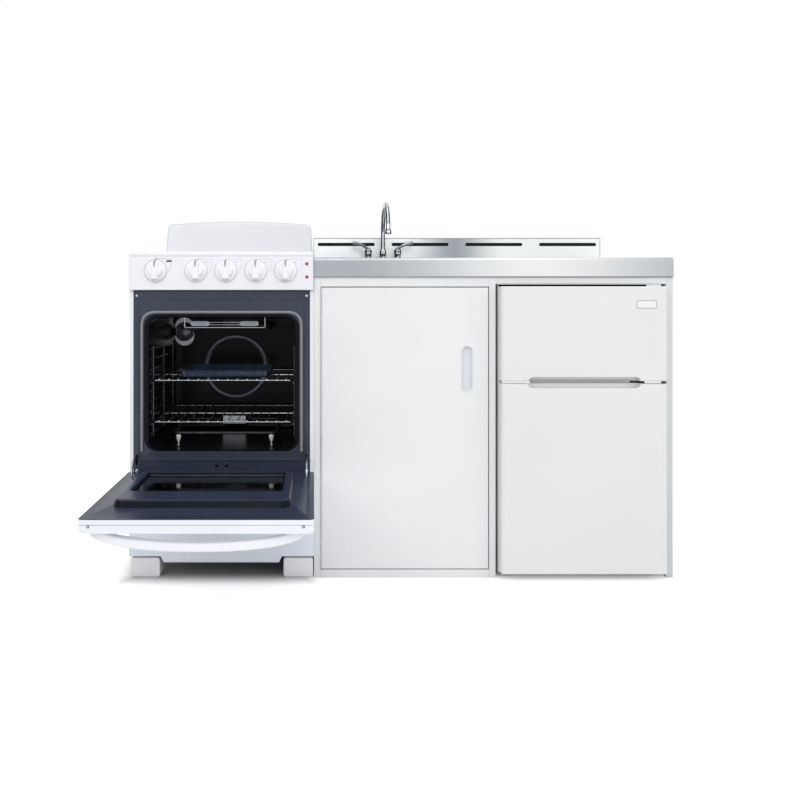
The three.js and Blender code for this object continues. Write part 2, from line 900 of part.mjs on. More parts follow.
// Shallow enamelled pan that stands on the upper rack's wires.
function broilerPan() {
  const z0 = upperRackZ + rackRail + rackWire + touchGap;
  const z1 = z0 + panHeight;
  const half = panWidth / 2;
  const section = (inset, topInset) =>
    polygon([
      [rangeMiddle - half + panTaper + inset, z0 + inset],
      [rangeMiddle + half - panTaper - inset, z0 + inset],
      [rangeMiddle + half - panRim - inset, z1 + topInset],
      [rangeMiddle - half + panRim + inset, z1 + topInset],
    ]);
  const y0 = panFront + panRim;
  const y1 = panFront + panLength - panRim;
  const body = alongY(section(0, 0), y0, y1);
  const rim = block(
    rangeMiddle - half,
    rangeMiddle + half,
    panFront,
    panFront + panLength,
    z1 - 2 * panSheet,
    z1,
  );
  const inside = alongY(section(panSheet, cutOver), y0 + panSheet, y1 - panSheet);
  return cut(join(body, rim), inside);
}

// Tubular heater: a loop from two terminals in the back wall.
function heaterLoop(z, width) {
  const back = frameSheet + cavityDepth - sheet - touchGap;
  const inner = terminalPitch / 2;
  const outer = width / 2;
  const shoulder = back - heaterFoot;
  const path = bentPath(
    [
      [rangeMiddle - inner, back, z],
      [rangeMiddle - inner, shoulder, z],
      [rangeMiddle - outer, shoulder, z],
      [rangeMiddle - outer, heaterFront, z],
      [rangeMiddle + outer, heaterFront, z],
      [rangeMiddle + outer, shoulder, z],
      [rangeMiddle + inner, shoulder, z],
      [rangeMiddle + inner, back, z],
    ],
    heaterBend,
  );
  const plate = block(
    rangeMiddle - inner - heaterTube,
    rangeMiddle + inner + heaterTube,
    back - heaterPlate,
    back,
    z - heaterPlateHeight / 2,
    z + heaterPlateHeight / 2,
  );
  return join(bar(path, heaterTube, 44, 5), plate);
}

// Lower heater on two short legs.
function bakeHeater() {
  const legs = [-1, 1].map((side) => {
    const x = rangeMiddle + (side * bakeWidth) / 2.2;
    return block(
      x - heaterLeg / 2,
      x + heaterLeg / 2,
      heaterFront - heaterStrap / 2,
      heaterFront + heaterStrap / 2,
      cavityBottom + touchGap,
      bakeZ,
    );
  });
  return join(heaterLoop(bakeZ, bakeWidth), ...legs);
}

// Upper heater, hung from the oven's ceiling by two posts.
function broilHeater() {
  const posts = [-1, 1].map((side) => {
    const x = rangeMiddle + (side * broilWidth) / 2.1;
    return block(
      x - heaterPost / 2,
      x + heaterPost / 2,
      heaterFront - heaterStrap / 2,
      heaterFront + heaterStrap / 2,
      broilZ,
      cavityTop - touchGap,
    );
  });
  return join(heaterLoop(broilZ, broilWidth), ...posts);
}

// Chrome flange and glass cover of the oven lamp on the back wall.
function ovenLamp() {
  const wall = frameSheet + cavityDepth - sheet;
  const plate = alongY(
    roundedRect(
      ovenLampX - ovenLampWidth / 2,
      ovenLampX + ovenLampWidth / 2,
      ovenLampZ - ovenLampHeight / 2,
      ovenLampZ + ovenLampHeight / 2,
      ovenLampWidth / 2.4,
    ),
    wall - ovenLampPlate,
    wall,
  );
  const lens = turnedForward(
    [
      [0, -1],
      [ovenLampLens, -1],
      [ovenLampLens, 4],
      [ovenLampLens * 0.8, 10],
      [0, 14],
    ],
    ovenLampX,
    wall - ovenLampPlate,
    ovenLampZ,
    20,
  );
  return join(plate, lens);
}

// ---------------------------------------------------------------- oven door

const doorLeft = rangeMiddle - doorWidth / 2;
const doorRight = rangeMiddle + doorWidth / 2;
const windowRear = pivotY - doorWindowNear;
const windowFront = pivotY - doorWindowFar;
const windowLeft = rangeMiddle - doorWindowWidth / 2;
const windowRight = rangeMiddle + doorWindowWidth / 2;

// White outer pan with folded edges and the window opening.
function doorOuter() {
  const rimZ = doorFlangeZ - sheet;
  const pan = alongZ(roundedRect(doorLeft, doorRight, doorFront, doorRear, doorRadius), doorOuterZ, rimZ);
  const hollow = alongZ(
    roundedRect(
      doorLeft + doorSheet,
      doorRight - doorSheet,
      doorFront + doorSheet,
      doorRear - doorSheet,
      doorRadius - doorSheet,
    ),
    doorOuterZ + doorSheet,
    rimZ + cutOver,
  );
  const window = block(
    windowLeft,
    windowRight,
    windowFront,
    windowRear,
    doorOuterZ - cutOver,
    doorOuterZ + doorSheet + cutOver,
  );
  return cut(pan, hollow, window);
}

// Enamelled liner: flange on the pan's edge, a low step, then a plateau with the window.
function doorInner() {
  const rimZ = doorFlangeZ - sheet;
  const plan = (inset) => ({
    step: roundedRect(
      doorLeft + linerSide + inset,
      doorRight - linerSide - inset,
      doorFront + linerEnd + inset,
      doorRear - linerEnd / 2 - inset,
      linerRadius,
    ),
    plateau: roundedRect(
      rangeMiddle - plateauWidth / 2 + inset,
      rangeMiddle + plateauWidth / 2 - inset,
      pivotY - plateauFar + inset,
      pivotY - plateauNear - inset,
      plateauRadius,
    ),
  });
  const outer = plan(0);
  const inner = plan(sheet);
  const flange = alongZ(roundedRect(doorLeft, doorRight, doorFront, doorRear, doorRadius), rimZ, doorFlangeZ);
  const step = alongZ(outer.step, doorFlangeZ - sheet / 2, doorLinerZ);
  const plateau = alongZ(outer.plateau, doorFlangeZ, doorPlateauZ);
  const stepHollow = alongZ(inner.step, rimZ - cutOver, doorLinerZ - sheet);
  const plateauHollow = alongZ(inner.plateau, rimZ - cutOver, doorPlateauZ - sheet);
  const window = block(windowLeft, windowRight, windowFront, windowRear, rimZ, doorPlateauZ + cutOver);
  return cut(join(flange, step, plateau), stepHollow, plateauHollow, window);
}

// Two panes held apart by strips at their sides.
function doorGlassPack() {
  const x0 = windowLeft + touchGap;
  const x1 = windowRight - touchGap;
  const y0 = windowFront + touchGap;
  const y1 = windowRear - touchGap;
  const low = doorOuterZ + touchGap;
  const high = doorPlateauZ - 2 * touchGap;
  const strip = 2 * doorGlass;
  return join(
    block(x0, x1, y0, y1, low, low + doorGlass),
    block(x0, x1, y0, y1, high - doorGlass, high),
    block(x0, x0 + strip, y0, y1, low, high),
    block(x1 - strip, x1, y0, y1, low, high),
  );
}

// Bowed handle across the door's outer face.
function doorHandle() {
  const x0 = rangeMiddle - handleSpan / 2;
  const x1 = rangeMiddle + handleSpan / 2;
  const top = doorOuterZ;
  const low = top - handleDrop;
  const shape = new THREE.Shape();
  shape.moveTo(x0, top);
  shape.quadraticCurveTo(x0 + 0.6 * handleFoot, low + handleThick / 2, x0 + 3 * handleFoot, low + 4);
  shape.quadraticCurveTo(rangeMiddle, low - 4, x1 - 3 * handleFoot, low + 4);
  shape.quadraticCurveTo(x1 - 0.6 * handleFoot, low + handleThick / 2, x1, top);
  shape.lineTo(x1 - handleFoot, top);
  shape.quadraticCurveTo(
    x1 - 1.5 * handleFoot,
    low + handleThick + 6,
    x1 - 3.2 * handleFoot,
    low + handleThick + 4,
  );
  shape.quadraticCurveTo(rangeMiddle, low + handleThick - 4, x0 + 3.2 * handleFoot, low + handleThick + 4);
  shape.quadraticCurveTo(x0 + 1.5 * handleFoot, low + handleThick + 6, x0 + handleFoot, top);
  const y0 = doorFront + handleFromEnd;
  return alongY(shape, y0, y0 + handleWidth, 8);
}

function hingeArmPlaces() {
  return [hingeArmInset, rangeWidth - hingeArmInset - hingeArmThick];
}

// Arc-shaped arm about the pivot. It stands on the door and runs through the front plate.
function hingeArm(x) {
  const foot = doorFlangeZ - pivotZ;
  const tip = (hingeArmTip * Math.PI) / 180;
  const outerFoot = Math.PI - Math.asin(foot / hingeArmOuter);
  const innerFoot = Math.PI - Math.asin(foot / hingeArmInner);
  const shape = new THREE.Shape();
  shape.absarc(pivotY, pivotZ, hingeArmOuter, tip, outerFoot, false);
  shape.absarc(pivotY, pivotZ, hingeArmInner, innerFoot, tip, true);
  return alongX(shape, x, x + hingeArmThick, 10);
}

// ---------------------------------------------------------------- cabinet

const doorOpeningLeft = cabinetX + stileWidth;
const doorOpeningRight = cabinetRight - frameDepth;

// Sides, floor and back of the sink base in folded sheet.
function cabinetCarcass() {
  const front = frameDepth;
  const back = backPlane - carcassSheet;
  const outer = block(cabinetX, cabinetRight, front, backPlane, 0, cabinetTop);
  const inside = block(
    cabinetX + carcassSheet,
    cabinetRight - carcassSheet,
    front - cutOver,
    back,
    carcassFloor,
    cabinetTop + cutOver,
  );
  const plinth = block(
    cabinetX + carcassSheet,
    cabinetRight - carcassSheet,
    front - cutOver,
    back,
    -cutOver,
    carcassFloor - carcassSheet,
  );
  return cut(outer, inside, plinth);
}

function endPanel() {
  const panel = block(endPanelX, unitRight, 0, backPlane, 0, cabinetTop);
  const hollow = block(
    endPanelX - cutOver,
    unitRight - carcassSheet,
    frameDepth,
    backPlane - frameDepth,
    carcassFloor,
    cabinetTop - frameDepth,
  );
  return cut(panel, hollow);
}

// Two stiles and the rails over and under the door, with the rail over the fridge's bay.
function faceFrame() {
  const members = [
    [cabinetX, doorOpeningLeft, 0, cabinetTop],
    [doorOpeningRight, cabinetRight, 0, cabinetTop],
    [cabinetX, cabinetRight, cabinetTop - topRailHeight, cabinetTop],
    [cabinetX, cabinetRight, 0, bottomRailHeight],
    [doorOpeningRight, endPanelX, cabinetTop - bayRailHeight, cabinetTop],
  ];
  const outer = members.map(([x0, x1, z0, z1]) => block(x0, x1, 0, frameDepth, z0, z1));
  const inner = members.map(([x0, x1, z0, z1]) =>
    block(
      x0 + frameSkin,
      x1 - frameSkin,
      frameSkin,
      frameDepth + cutOver,
      z0 + frameSkin,
      z1 - frameSkin,
    ),
  );
  return cut(join(...outer), ...inner);
}

const cabinetDoor = {
  left: doorOpeningLeft + cabinetGap,
  right: doorOpeningRight - cabinetGap,
  low: bottomRailHeight + cabinetGap,
  high: cabinetTop - topRailHeight - cabinetGap,
};
const pullX = cabinetDoor.right - pullFromEdge;
const pullZ = cabinetDoor.high - pullBelowTop;

function pullOutline(inset) {
  const half = pullWidth / 2 - inset;
  return roundedRect(
    pullX - half,
    pullX + half,
    pullZ - pullHeight / 2 + inset,
    pullZ + pullHeight / 2 - inset,
    half - 0.5,
  );
}

// Steel door pan with a hole for its pull.
function cabinetDoorPan() {
  const { left, right, low, high } = cabinetDoor;
  const pan = block(left, right, 0, frameDepth, low, high);
  const hollow = block(
    left + frameSkin,
    right - frameSkin,
    frameSkin,
    frameDepth + cutOver,
    low + frameSkin,
    high - frameSkin,
  );
  const hole = alongY(pullOutline(pullRim), -cutOver, frameSkin + cutOver);
  return cut(pan, hollow, hole);
}

// Recessed finger cup with a rim on the door's face.
function pullCup() {
  const rim = alongY(pullOutline(0), -1, 0);
  const cup = alongY(pullOutline(pullRim + touchGap), -0.5, pullDepth);
  const hollow = alongY(pullOutline(pullRim + touchGap + 1.2), -1 - cutOver, pullDepth - 1.2);
  return cut(join(rim, cup), hollow);
}

const cabinetHingeX = doorOpeningLeft + 1.2;
const cabinetHingeY = -1.5;

// Long hinge: its barrel stands in the door's gap and its leaf lies on the stile.
function cabinetHinge() {
  const { low, high } = cabinetDoor;
  const barrel = turned(
    [[0, low], [hingeBarrel, low], [hingeBarrel, high], [0, high]],
    cabinetHingeX,
    cabinetHingeY,
    0,
    8,
  );
  const leaf = block(
    doorOpeningLeft + 0.1,
    doorOpeningLeft + 0.1 + hingeLeaf,
    cabinetHingeY + 0.5,
    frameDepth - 2,
    low,
    high,
  );
  return join(barrel, leaf);
}

// ---------------------------------------------------------------- worktop and sink

// Stainless top folded down on all four sides, cut out for the sink.
function worktop() {
  const section = (inset) => {
    const front = -topProud + inset;
    const back = backPlane - inset;
    const top = worktopHeight - inset;
    const shape = new THREE.Shape();
    shape.moveTo(front, inset > 0 ? cabinetTop - cutOver : cabinetTop);
    shape.lineTo(back, inset > 0 ? cabinetTop - cutOver : cabinetTop);
    shape.lineTo(back, top);
    shape.lineTo(front + topEdgeRadius, top);
    shape.quadraticCurveTo(front, top, front, top - topEdgeRadius);
    return shape;
  };
  const shell = alongX(section(0), cabinetX, unitRight);
  const hollow = alongX(section(topSheet), cabinetX + topSheet, unitRight - topSheet);
  const sinkHole = alongZ(
    roundedRect(
      sinkX - bowlWidth / 2,
      sinkX + bowlWidth / 2,
      sinkY - bowlLength / 2,
      sinkY + bowlLength / 2,
      sinkRadius,
    ),
    worktopHeight - topSheet - cutOver,
    worktopHeight + cutOver,
  );
  return cut(shell, hollow, sinkHole);
}

// Pressed bowl with a lip under the top and a hole for the strainer.
function sinkBowl() {
  const top = worktopHeight - topSheet;
  const low = top - sinkDepth;
  const plan = (grow, radius) =>
    roundedRect(
      sinkX - bowlWidth / 2 - grow,
      sinkX + bowlWidth / 2 + grow,
      sinkY - bowlLength / 2 - grow,
      sinkY + bowlLength / 2 + grow,
      radius,
    );
  const lip = alongZ(plan(sinkLip, sinkRadius), top - sheet, top);
  const outer = alongZ(plan(sheet, sinkRadius), low - sheet, top - sheet / 2);
  const inner = alongZ(plan(0, sinkRadius), low, top + cutOver);
  const drain = turned(
    [
      [0, -sheet - cutOver],
      [drainRadius, -sheet - cutOver],
      [drainRadius, cutOver],
      [0, cutOver],
    ],
    sinkX,
    sinkY,
    low,
    20,
  );
  return cut(join(lip, outer), inner, drain);
}

// Strainer cup with a flange in the bowl and a tail below it.
function sinkStrainer() {
  const low = worktopHeight - topSheet - sinkDepth;
  const cupR = drainRadius - runGap;
  const tailR = drainRadius / 2;
  const profile = [
    [0, -strainerDrop + 2],
    [tailR - 2, -strainerDrop + 2],
    [tailR - 2, -2 * strainerDrop],
    [tailR, -2 * strainerDrop],
    [tailR, -strainerDrop],
    [cupR, -strainerDrop + 8],
    [cupR, touchGap / 2],
    [strainerFlange, touchGap / 2],
    [strainerFlange, 2],
    [cupR - 2, 2],
    [cupR - 2, -strainerDrop + 10],
    [0, -strainerDrop + 4],
  ];
  return turned(profile, sinkX, sinkY, low, 16);
}

// Hollow splashback with the vent slots in its face, open at the back.
function splashback() {
  const top = worktopHeight + splashHeight;
  const front = backPlane - splashDepth;
  const box = block(cabinetX, unitRight, front, backPlane, worktopHeight, top);
  const hollow = block(
    cabinetX + sheet,
    unitRight - sheet,
    front + sheet,
    backPlane - sheet,
    worktopHeight - cutOver,
    top - sheet,
  );
  const middle = (cabinetX + unitRight) / 2;
  const slots = Array.from({ length: slotCount }, (_, i) => {
    const x = middle + (i - (slotCount - 1) / 2) * slotPitch;
    const z = top - slotBelowTop;
    return block(
      x - slotLength / 2,
      x + slotLength / 2,
      front - cutOver,
      front + sheet + cutOver,
      z - slotHeight / 2,
      z + slotHeight / 2,
    );
  });
  return cut(box, hollow, ...slots);
}

// ---------------------------------------------------------------- tap

const tapBaseTop = worktopHeight + tapBaseHeight;
const tapColumnTop = tapBaseTop + tapColumnHeight;

// Deck plate with three columns: a lever stands on each outer one, the spout in the middle.
function tapBody() {
  const plate = alongZ(
    roundedRect(
      sinkX - tapBaseWidth / 2,
      sinkX + tapBaseWidth / 2,
      tapY - tapBaseLength / 2,
      tapY + tapBaseLength / 2,
      tapBaseLength / 2.1,
    ),
    worktopHeight,
    tapBaseTop,
  );
  const column = (x) =>
    turned(
      [
        [0, -1],
        [tapColumnRadius + 2, -1],
        [tapColumnRadius + 2, 5],
        [tapColumnRadius, 9],
        [tapColumnRadius, tapColumnHeight],
        [0, tapColumnHeight],
      ],
      x,
      tapY,
      tapBaseTop,
      12,
    );
  return join(plate, ...[-1, 0, 1].map((side) => column(sinkX + side * tapPitch)));
}

// Gooseneck that turns on the middle column, with a flared outlet.
function tapSpout() {
  const foot = tapColumnTop + touchGap;
  const radius = spoutReach / 2;
  const path = new THREE.CurvePath();
  const rise = new THREE.Vector3(sinkX, tapY, spoutBend);
  path.add(new THREE.LineCurve3(new THREE.Vector3(sinkX, tapY, foot), rise));
  const corner = radius * 0.5523;
  const crown = new THREE.Vector3(sinkX, tapY - radius, spoutBend + radius);
  const tip = new THREE.Vector3(sinkX, tapY - spoutReach, spoutBend);
  const bend = (from, over, to) => path.add(new THREE.CubicBezierCurve3(from, ...over, to));
  const above = (base, dz) => base.clone().add(new THREE.Vector3(0, 0, dz));
  const beside = (base, dy) => base.clone().add(new THREE.Vector3(0, dy, 0));
  bend(rise, [above(rise, corner), beside(crown, corner)], crown);
  bend(crown, [beside(crown, -corner), above(tip, corner)], tip);
  const tube = bar(path, spoutRadius, 22, 8);
  const collar = turned(
    [
      [0, 0],
      [tapColumnRadius - 2, 0],
      [tapColumnRadius - 2, 6],
      [spoutRadius - 1, 12],
      [0, 12],
    ],
    sinkX,
    tapY,
    foot,
    16,
  );
  const aerator = turned(
    [
      [0, 0],
      [aeratorRadius, 0],
      [aeratorRadius - 1, aeratorLength * 0.7],
      [spoutRadius - 1, aeratorLength],
      [0, aeratorLength],
    ],
    sinkX,
    tapY - spoutReach,
    spoutTip,
    16,
  );
  return join(tube, collar, aerator);
}

// Lever on an outer column: a hub and a flat arm that rises outwards.
function tapLever(side) {
  const x = sinkX + side * tapPitch;
  const foot = tapColumnTop + touchGap;
  const hub = turned(
    [
      [0, 0],
      [leverHub, 0],
      [leverHub, leverHubHeight * 0.6],
      [leverHub - 4, leverHubHeight],
      [0, leverHubHeight + 1],
    ],
    x,
    tapY,
    foot,
    12,
  );
  const z0 = foot + leverHubHeight * 0.5;
  const arm = polygon([
    [0, z0],
    [side * leverLength, z0 + leverRise],
    [side * leverLength, z0 + leverRise + leverThick * 0.7],
    [0, z0 + leverThick],
  ]);
  const geometry = alongY(arm, tapY - leverThick, tapY + leverThick).translate([x, 0, 0]);
  return join(hub, geometry);
}

// ---------------------------------------------------------------- fridge-freezer

const fridgeLeft = cabinetRight + fridgeSideGap;
const fridgeRight = fridgeLeft + fridgeWidth;
const fridgeHingeX = fridgeRight - fridgeHingeInset;
const fridgeTop = cabinetTop - bayRailHeight - touchGap;
const freezerTop = fridgeTop - doorUnderTop;
const freezerBottom = freezerTop - freezerDoorHeight;
const coolerTop = freezerBottom - doorsGap;

// Outer steel shell on four levelling feet, open at the front, rear lower part cut away.
function fridgeShell() {
  const outer = block(fridgeLeft, fridgeRight, 0, fridgeDepth, fridgeBottom, fridgeTop);
  const inside = block(
    fridgeLeft + fridgeSheet,
    fridgeRight - fridgeSheet,
    -cutOver,
    fridgeDepth - fridgeSheet,
    fridgeBottom + fridgeSheet,
    fridgeTop - fridgeSheet,
  );
  const machineDoor = block(
    fridgeLeft + fridgeWall,
    fridgeRight - fridgeWall,
    fridgeDepth - fridgeSheet - cutOver,
    fridgeDepth + cutOver,
    fridgeBottom + fridgeWall / 2,
    stepTop - fridgeWall,
  );
  const feet = [fridgeLeft + 2 * fridgeFootRadius, fridgeRight - 2 * fridgeFootRadius].flatMap((x) =>
    [2 * fridgeFootRadius, fridgeDepth - 2 * fridgeFootRadius].map((y) =>
      turned(
        [
          [0, 0],
          [fridgeFootRadius, 0],
          [fridgeFootRadius, fridgeBottom + fridgeSheet / 2],
          [0, fridgeBottom + fridgeSheet / 2],
        ],
        x,
        y,
        0,
        12,
      ),
    ),
  );
  return join(cut(outer, inside, machineDoor), ...feet);
}

const compartmentLeft = fridgeLeft + fridgeWall;
const compartmentRight = fridgeRight - fridgeWall;
const compartments = {
  freezer: [freezerBottom + fridgeWall / 2, freezerTop - fridgeWall],
  cooler: [coolerBottom + 1.6 * fridgeWall, coolerTop - fridgeWall / 2],
};

// Plastic liner: one front flange, a freezer tub and a cooler tub that steps over the
// compressor, with ledges for the shelf.
function fridgeLiner() {
  const edge = fridgeSheet + touchGap;
  const flange = block(
    fridgeLeft + edge,
    fridgeRight - edge,
    0,
    fridgeSheet,
    fridgeBottom + edge,
    fridgeTop - edge,
  );
  const tub = (z0, z1, depth, wall) =>
    block(
      compartmentLeft - wall,
      compartmentRight + wall,
      wall > 0 ? 0 : -cutOver,
      depth + wall,
      z0 - wall,
      z1 + wall,
    );
  const [coldLow, coldHigh] = compartments.freezer;
  const [coolLow, coolHigh] = compartments.cooler;
  const spaces = [
    [coldLow, coldHigh, compartmentDepth],
    [coolLow, coolHigh, stepDepth],
    [stepTop, coolHigh, compartmentDepth],
  ];
  const walls = spaces.map((space) => tub(...space, fridgeSheet));
  const insides = spaces.map((space) => tub(...space, 0));
  const ledge = (x0, x1) => block(x0, x1, 10, compartmentDepth + 1, shelfZ - 6, shelfZ - touchGap);
  return join(
    cut(join(flange, ...walls), ...insides),
    ledge(compartmentLeft - 1, compartmentLeft + 8),
    ledge(compartmentRight - 8, compartmentRight + 1),
  );
}

// Foamed door with rounded front edges, half of the shared grip recess, and its seal.
function fridgeDoor(z0, z1) {
  const y1 = -fridgeDoorGap;
  const y0 = y1 - fridgeDoorThick;
  const r = doorEdgeRadius;
  const plan = new THREE.Shape();
  plan.moveTo(fridgeLeft, y1);
  plan.lineTo(fridgeLeft, y0 + r);
  plan.absarc(fridgeLeft + r, y0 + r, r, Math.PI, 1.5 * Math.PI);
  plan.lineTo(fridgeRight - r, y0);
  plan.absarc(fridgeRight - r, y0 + r, r, -Math.PI / 2, 0);
  plan.lineTo(fridgeRight, y1);
  const panel = alongZ(plan, z0, z1, 5);
  const gripZ = (freezerBottom + coolerTop) / 2;
  const gripX = fridgeLeft + gripFromLeft;
  const grip = alongY(
    roundedRect(gripX, gripX + gripLength, gripZ - gripHeight / 2, gripZ + gripHeight / 2, gripHeight / 2.1),
    y0 - cutOver,
    y0 + gripDepth,
    5,
  );
  const sealBox = (inset) => [
    fridgeLeft + fridgeSealInset + inset,
    fridgeRight - fridgeSealInset - inset,
    z0 + fridgeSealInset + inset,
    z1 - fridgeSealInset - inset,
  ];
  const [ox0, ox1, oz0, oz1] = sealBox(0);
  const [ix0, ix1, iz0, iz1] = sealBox(fridgeSealWidth);
  const seal = cut(
    block(ox0, ox1, y1 - 1, y1 + fridgeSealThick, oz0, oz1),
    block(ix0, ix1, y1, y1 + fridgeSealThick + cutOver, iz0, iz1),
  );
  const pinHole = (z) =>
    turned(
      [
        [0, -12],
        [fridgeHingePin + runGap, -12],
        [fridgeHingePin + runGap, 12],
        [0, 12],
      ],
      fridgeHingeX,
      fridgeHingePivotY,
      z,
      12,
    );
  return cut(join(panel, seal), grip, pinHole(z0 > coolerTop ? z0 : z1));
}

// Bracket between the doors, with a pin up into the freezer door and down into the other.
function middleHinge() {
  const gap = freezerBottom - coolerTop;
  const z0 = coolerTop + (gap - fridgeHingePlate) / 2;
  const z1 = z0 + fridgeHingePlate;
  const x0 = fridgeRight - fridgeHingeLength;
  const x1 = fridgeRight - 2;
  const plate = polygon([
    [x0, 0],
    [x0, -fridgeDoorGap],
    [fridgeHingeX - 12, fridgeHingePivotY - 8],
    [x1, fridgeHingePivotY - 8],
    [x1, 0],
  ]);
  const pin = turned(
    [
      [0, -9],
      [fridgeHingePin, -9],
      [fridgeHingePin, fridgeHingePlate + 9],
      [0, fridgeHingePlate + 9],
    ],
    fridgeHingeX,
    fridgeHingePivotY,
    z0,
    12,
  );
  return join(alongZ(plate, z0, z1), pin);
}

// Domed compressor can on the shell's floor behind the step.
function compressor() {
  const r = compressorRadius;
  const h = compressorHeight;
  const profile = [
    [0, 0],
    [r * 0.8, 0],
    [r * 0.8, 6],
    [r * 0.95, h * 0.2],
    [r, h * 0.5],
    [r * 0.9, h * 0.8],
    [r * 0.55, h * 0.96],
    [0, h],
  ];
  const x = (fridgeLeft + fridgeRight) / 2;
  return turned(profile, x, fridgeDepth - compressorSetback, fridgeBottom + fridgeSheet, 20);
}

function fridgeShelf() {
  return block(
    compartmentLeft + touchGap,
    compartmentRight - touchGap,
    12,
    compartmentDepth - 2 * touchGap,
    shelfZ,
    shelfZ + shelfThick,
  );
}

// ---------------------------------------------------------------- assembly

place("range_casing", rangeCasing(), whiteEnamel);
place("range_base", rangeBase(), greySteel);
place("kick_panel", kickPanel(), whiteEnamel);
place("foot_front_left", foot(footInset), footPlastic);
place("foot_front_right", foot(rangeWidth - footInset - footWidth), footPlastic);
place("rear_foot_rail", rearFootRail(), greySteel);
place("cooktop", cooktop(), whiteEnamel);
for (const hob of hobs) {
  place(`drip_bowl_${hob.name}`, dripBowl(hob), chrome);
  place(`coil_heater_${hob.name}`, coilHeater(hob), castBlack);
}
place("backguard", backguard(), whiteEnamel);
place("control_panel", controlPanel(), whiteEnamel);
for (const each of knobs) place(each.name, knob(each), whitePlastic);
place("oven_lamp_indicator", indicatorLamp(lampUpperZ), redLens);
place("hob_lamp_indicator", indicatorLamp(lampLowerZ), redLens);

place("oven_front_frame", ovenFrontFrame(), blueEnamel);
place("oven_cavity", ovenCavity(), blackEnamel);
place("oven_gasket", ovenGasket(), sealGrey);
place("upper_rack", ovenRack(upperRackZ), chrome);
place("lower_rack", ovenRack(lowerRackZ), chrome);
place("broiler_pan", broilerPan(), blueEnamel);
place("bake_heater", bakeHeater(), castBlack);
place("broil_heater", broilHeater(), castBlack);
place("oven_lamp", ovenLamp(), chrome);

place("door_outer", doorOuter(), whiteEnamel);
place("door_inner", doorInner(), blueEnamel);
place("door_glass", doorGlassPack(), glass);
place("door_handle", doorHandle(), whiteEnamel);
const [leftArm, rightArm] = hingeArmPlaces();
place("door_hinge_left", hingeArm(leftArm), chrome);
place("door_hinge_right", hingeArm(rightArm), chrome);

place("cabinet_carcass", cabinetCarcass(), whiteSteel);
place("end_panel", endPanel(), whiteSteel);
place("face_frame", faceFrame(), whiteSteel);
place("cabinet_door", cabinetDoorPan(), whiteSteel);
place("pull_cup", pullCup(), whitePlastic);
place("cabinet_hinge", cabinetHinge(), greySteel);
place("worktop", worktop(), stainless);
place("sink_bowl", sinkBowl(), stainless);
place("sink_strainer", sinkStrainer(), chrome);
place("splashback", splashback(), stainless);
place("tap_body", tapBody(), chrome);
place("tap_spout", tapSpout(), chrome);
place("tap_lever_left", tapLever(-1), chrome);
place("tap_lever_right", tapLever(1), chrome);

place("fridge_shell", fridgeShell(), whiteSteel);
place("fridge_liner", fridgeLiner(), whitePlastic);
place("freezer_door", fridgeDoor(freezerBottom, freezerTop), whitePlastic);
place("fridge_door", fridgeDoor(coolerBottom, coolerTop), whitePlastic);
place("middle_hinge", middleHinge(), greySteel);
place("compressor", compressor(), castBlack);
place("fridge_shelf", fridgeShelf(), glass);

assembly.position.set(-unitRight / 2, -(backPlane + doorFront) / 2, 0);

export default assembly;
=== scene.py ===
import math

import bmesh
import bpy
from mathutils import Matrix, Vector


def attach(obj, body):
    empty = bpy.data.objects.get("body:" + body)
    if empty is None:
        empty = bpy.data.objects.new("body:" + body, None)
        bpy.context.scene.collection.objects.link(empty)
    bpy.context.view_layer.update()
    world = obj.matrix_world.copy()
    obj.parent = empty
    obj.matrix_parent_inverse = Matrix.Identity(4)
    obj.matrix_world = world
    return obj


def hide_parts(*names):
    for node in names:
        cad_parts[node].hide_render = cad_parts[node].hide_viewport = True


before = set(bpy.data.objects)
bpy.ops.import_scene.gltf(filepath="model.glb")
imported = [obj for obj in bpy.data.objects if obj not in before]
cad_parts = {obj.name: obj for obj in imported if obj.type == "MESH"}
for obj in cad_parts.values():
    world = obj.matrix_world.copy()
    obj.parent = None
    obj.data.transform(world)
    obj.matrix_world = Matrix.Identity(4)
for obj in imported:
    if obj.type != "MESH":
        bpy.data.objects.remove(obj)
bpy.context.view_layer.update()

# ---- Range casing
# Both sides and the back are one bent sheet of steel in white porcelain enamel. It stands on
# the base and carries the hob. Its front edges fold in and hold the oven's blue front.

MM = 0.001
CORNER = Vector((-0.769, -0.046, 0))  # range's left side, cabinet's front plane, floor
RANGE_WIDTH = 521.6
VECTOR, NUMBER, TINT = "NodeSocketVector", "NodeSocketFloat", "NodeSocketColor"


def at(x, y, z):
    """A place in millimetres from that corner, in metres in the row frame."""
    return CORNER + Vector((x, y, z)) * MM


def colour(code):
    """A colour written as RRGGBB, in the linear values that sockets take."""
    parts = [int(code[i : i + 2], 16) / 255 for i in (0, 2, 4)]
    return (*[p / 12.92 if p <= 0.04045 else ((p + 0.055) / 1.055) ** 2.4 for p in parts], 1)


def node(tree, kind, inputs=None, **settings):
    """A shader node with its settings made and its inputs filled or wired."""
    made = tree.nodes.new("ShaderNode" + kind)
    for key, value in settings.items():
        setattr(made, key, value)
    for key, value in (inputs or {}).items():
        if isinstance(value, bpy.types.NodeSocket):
            tree.links.new(value, made.inputs[key])
        else:
            made.inputs[key].default_value = value
    return made


def maths(tree, operation, *values, kind="Math"):
    return node(tree, kind, dict(enumerate(values)), operation=operation).outputs[0]


def blend(tree, share, first, second):
    """The first colour turned into the second by a share from 0 to 1."""
    return node(tree, "Mix", {0: share, 6: first, 7: second}, data_type="RGBA").outputs[2]


def noise(tree, place, scale, detail=2.0):
    return node(tree, "TexNoise", {"Vector": place, "Scale": scale, "Detail": detail}).outputs[0]


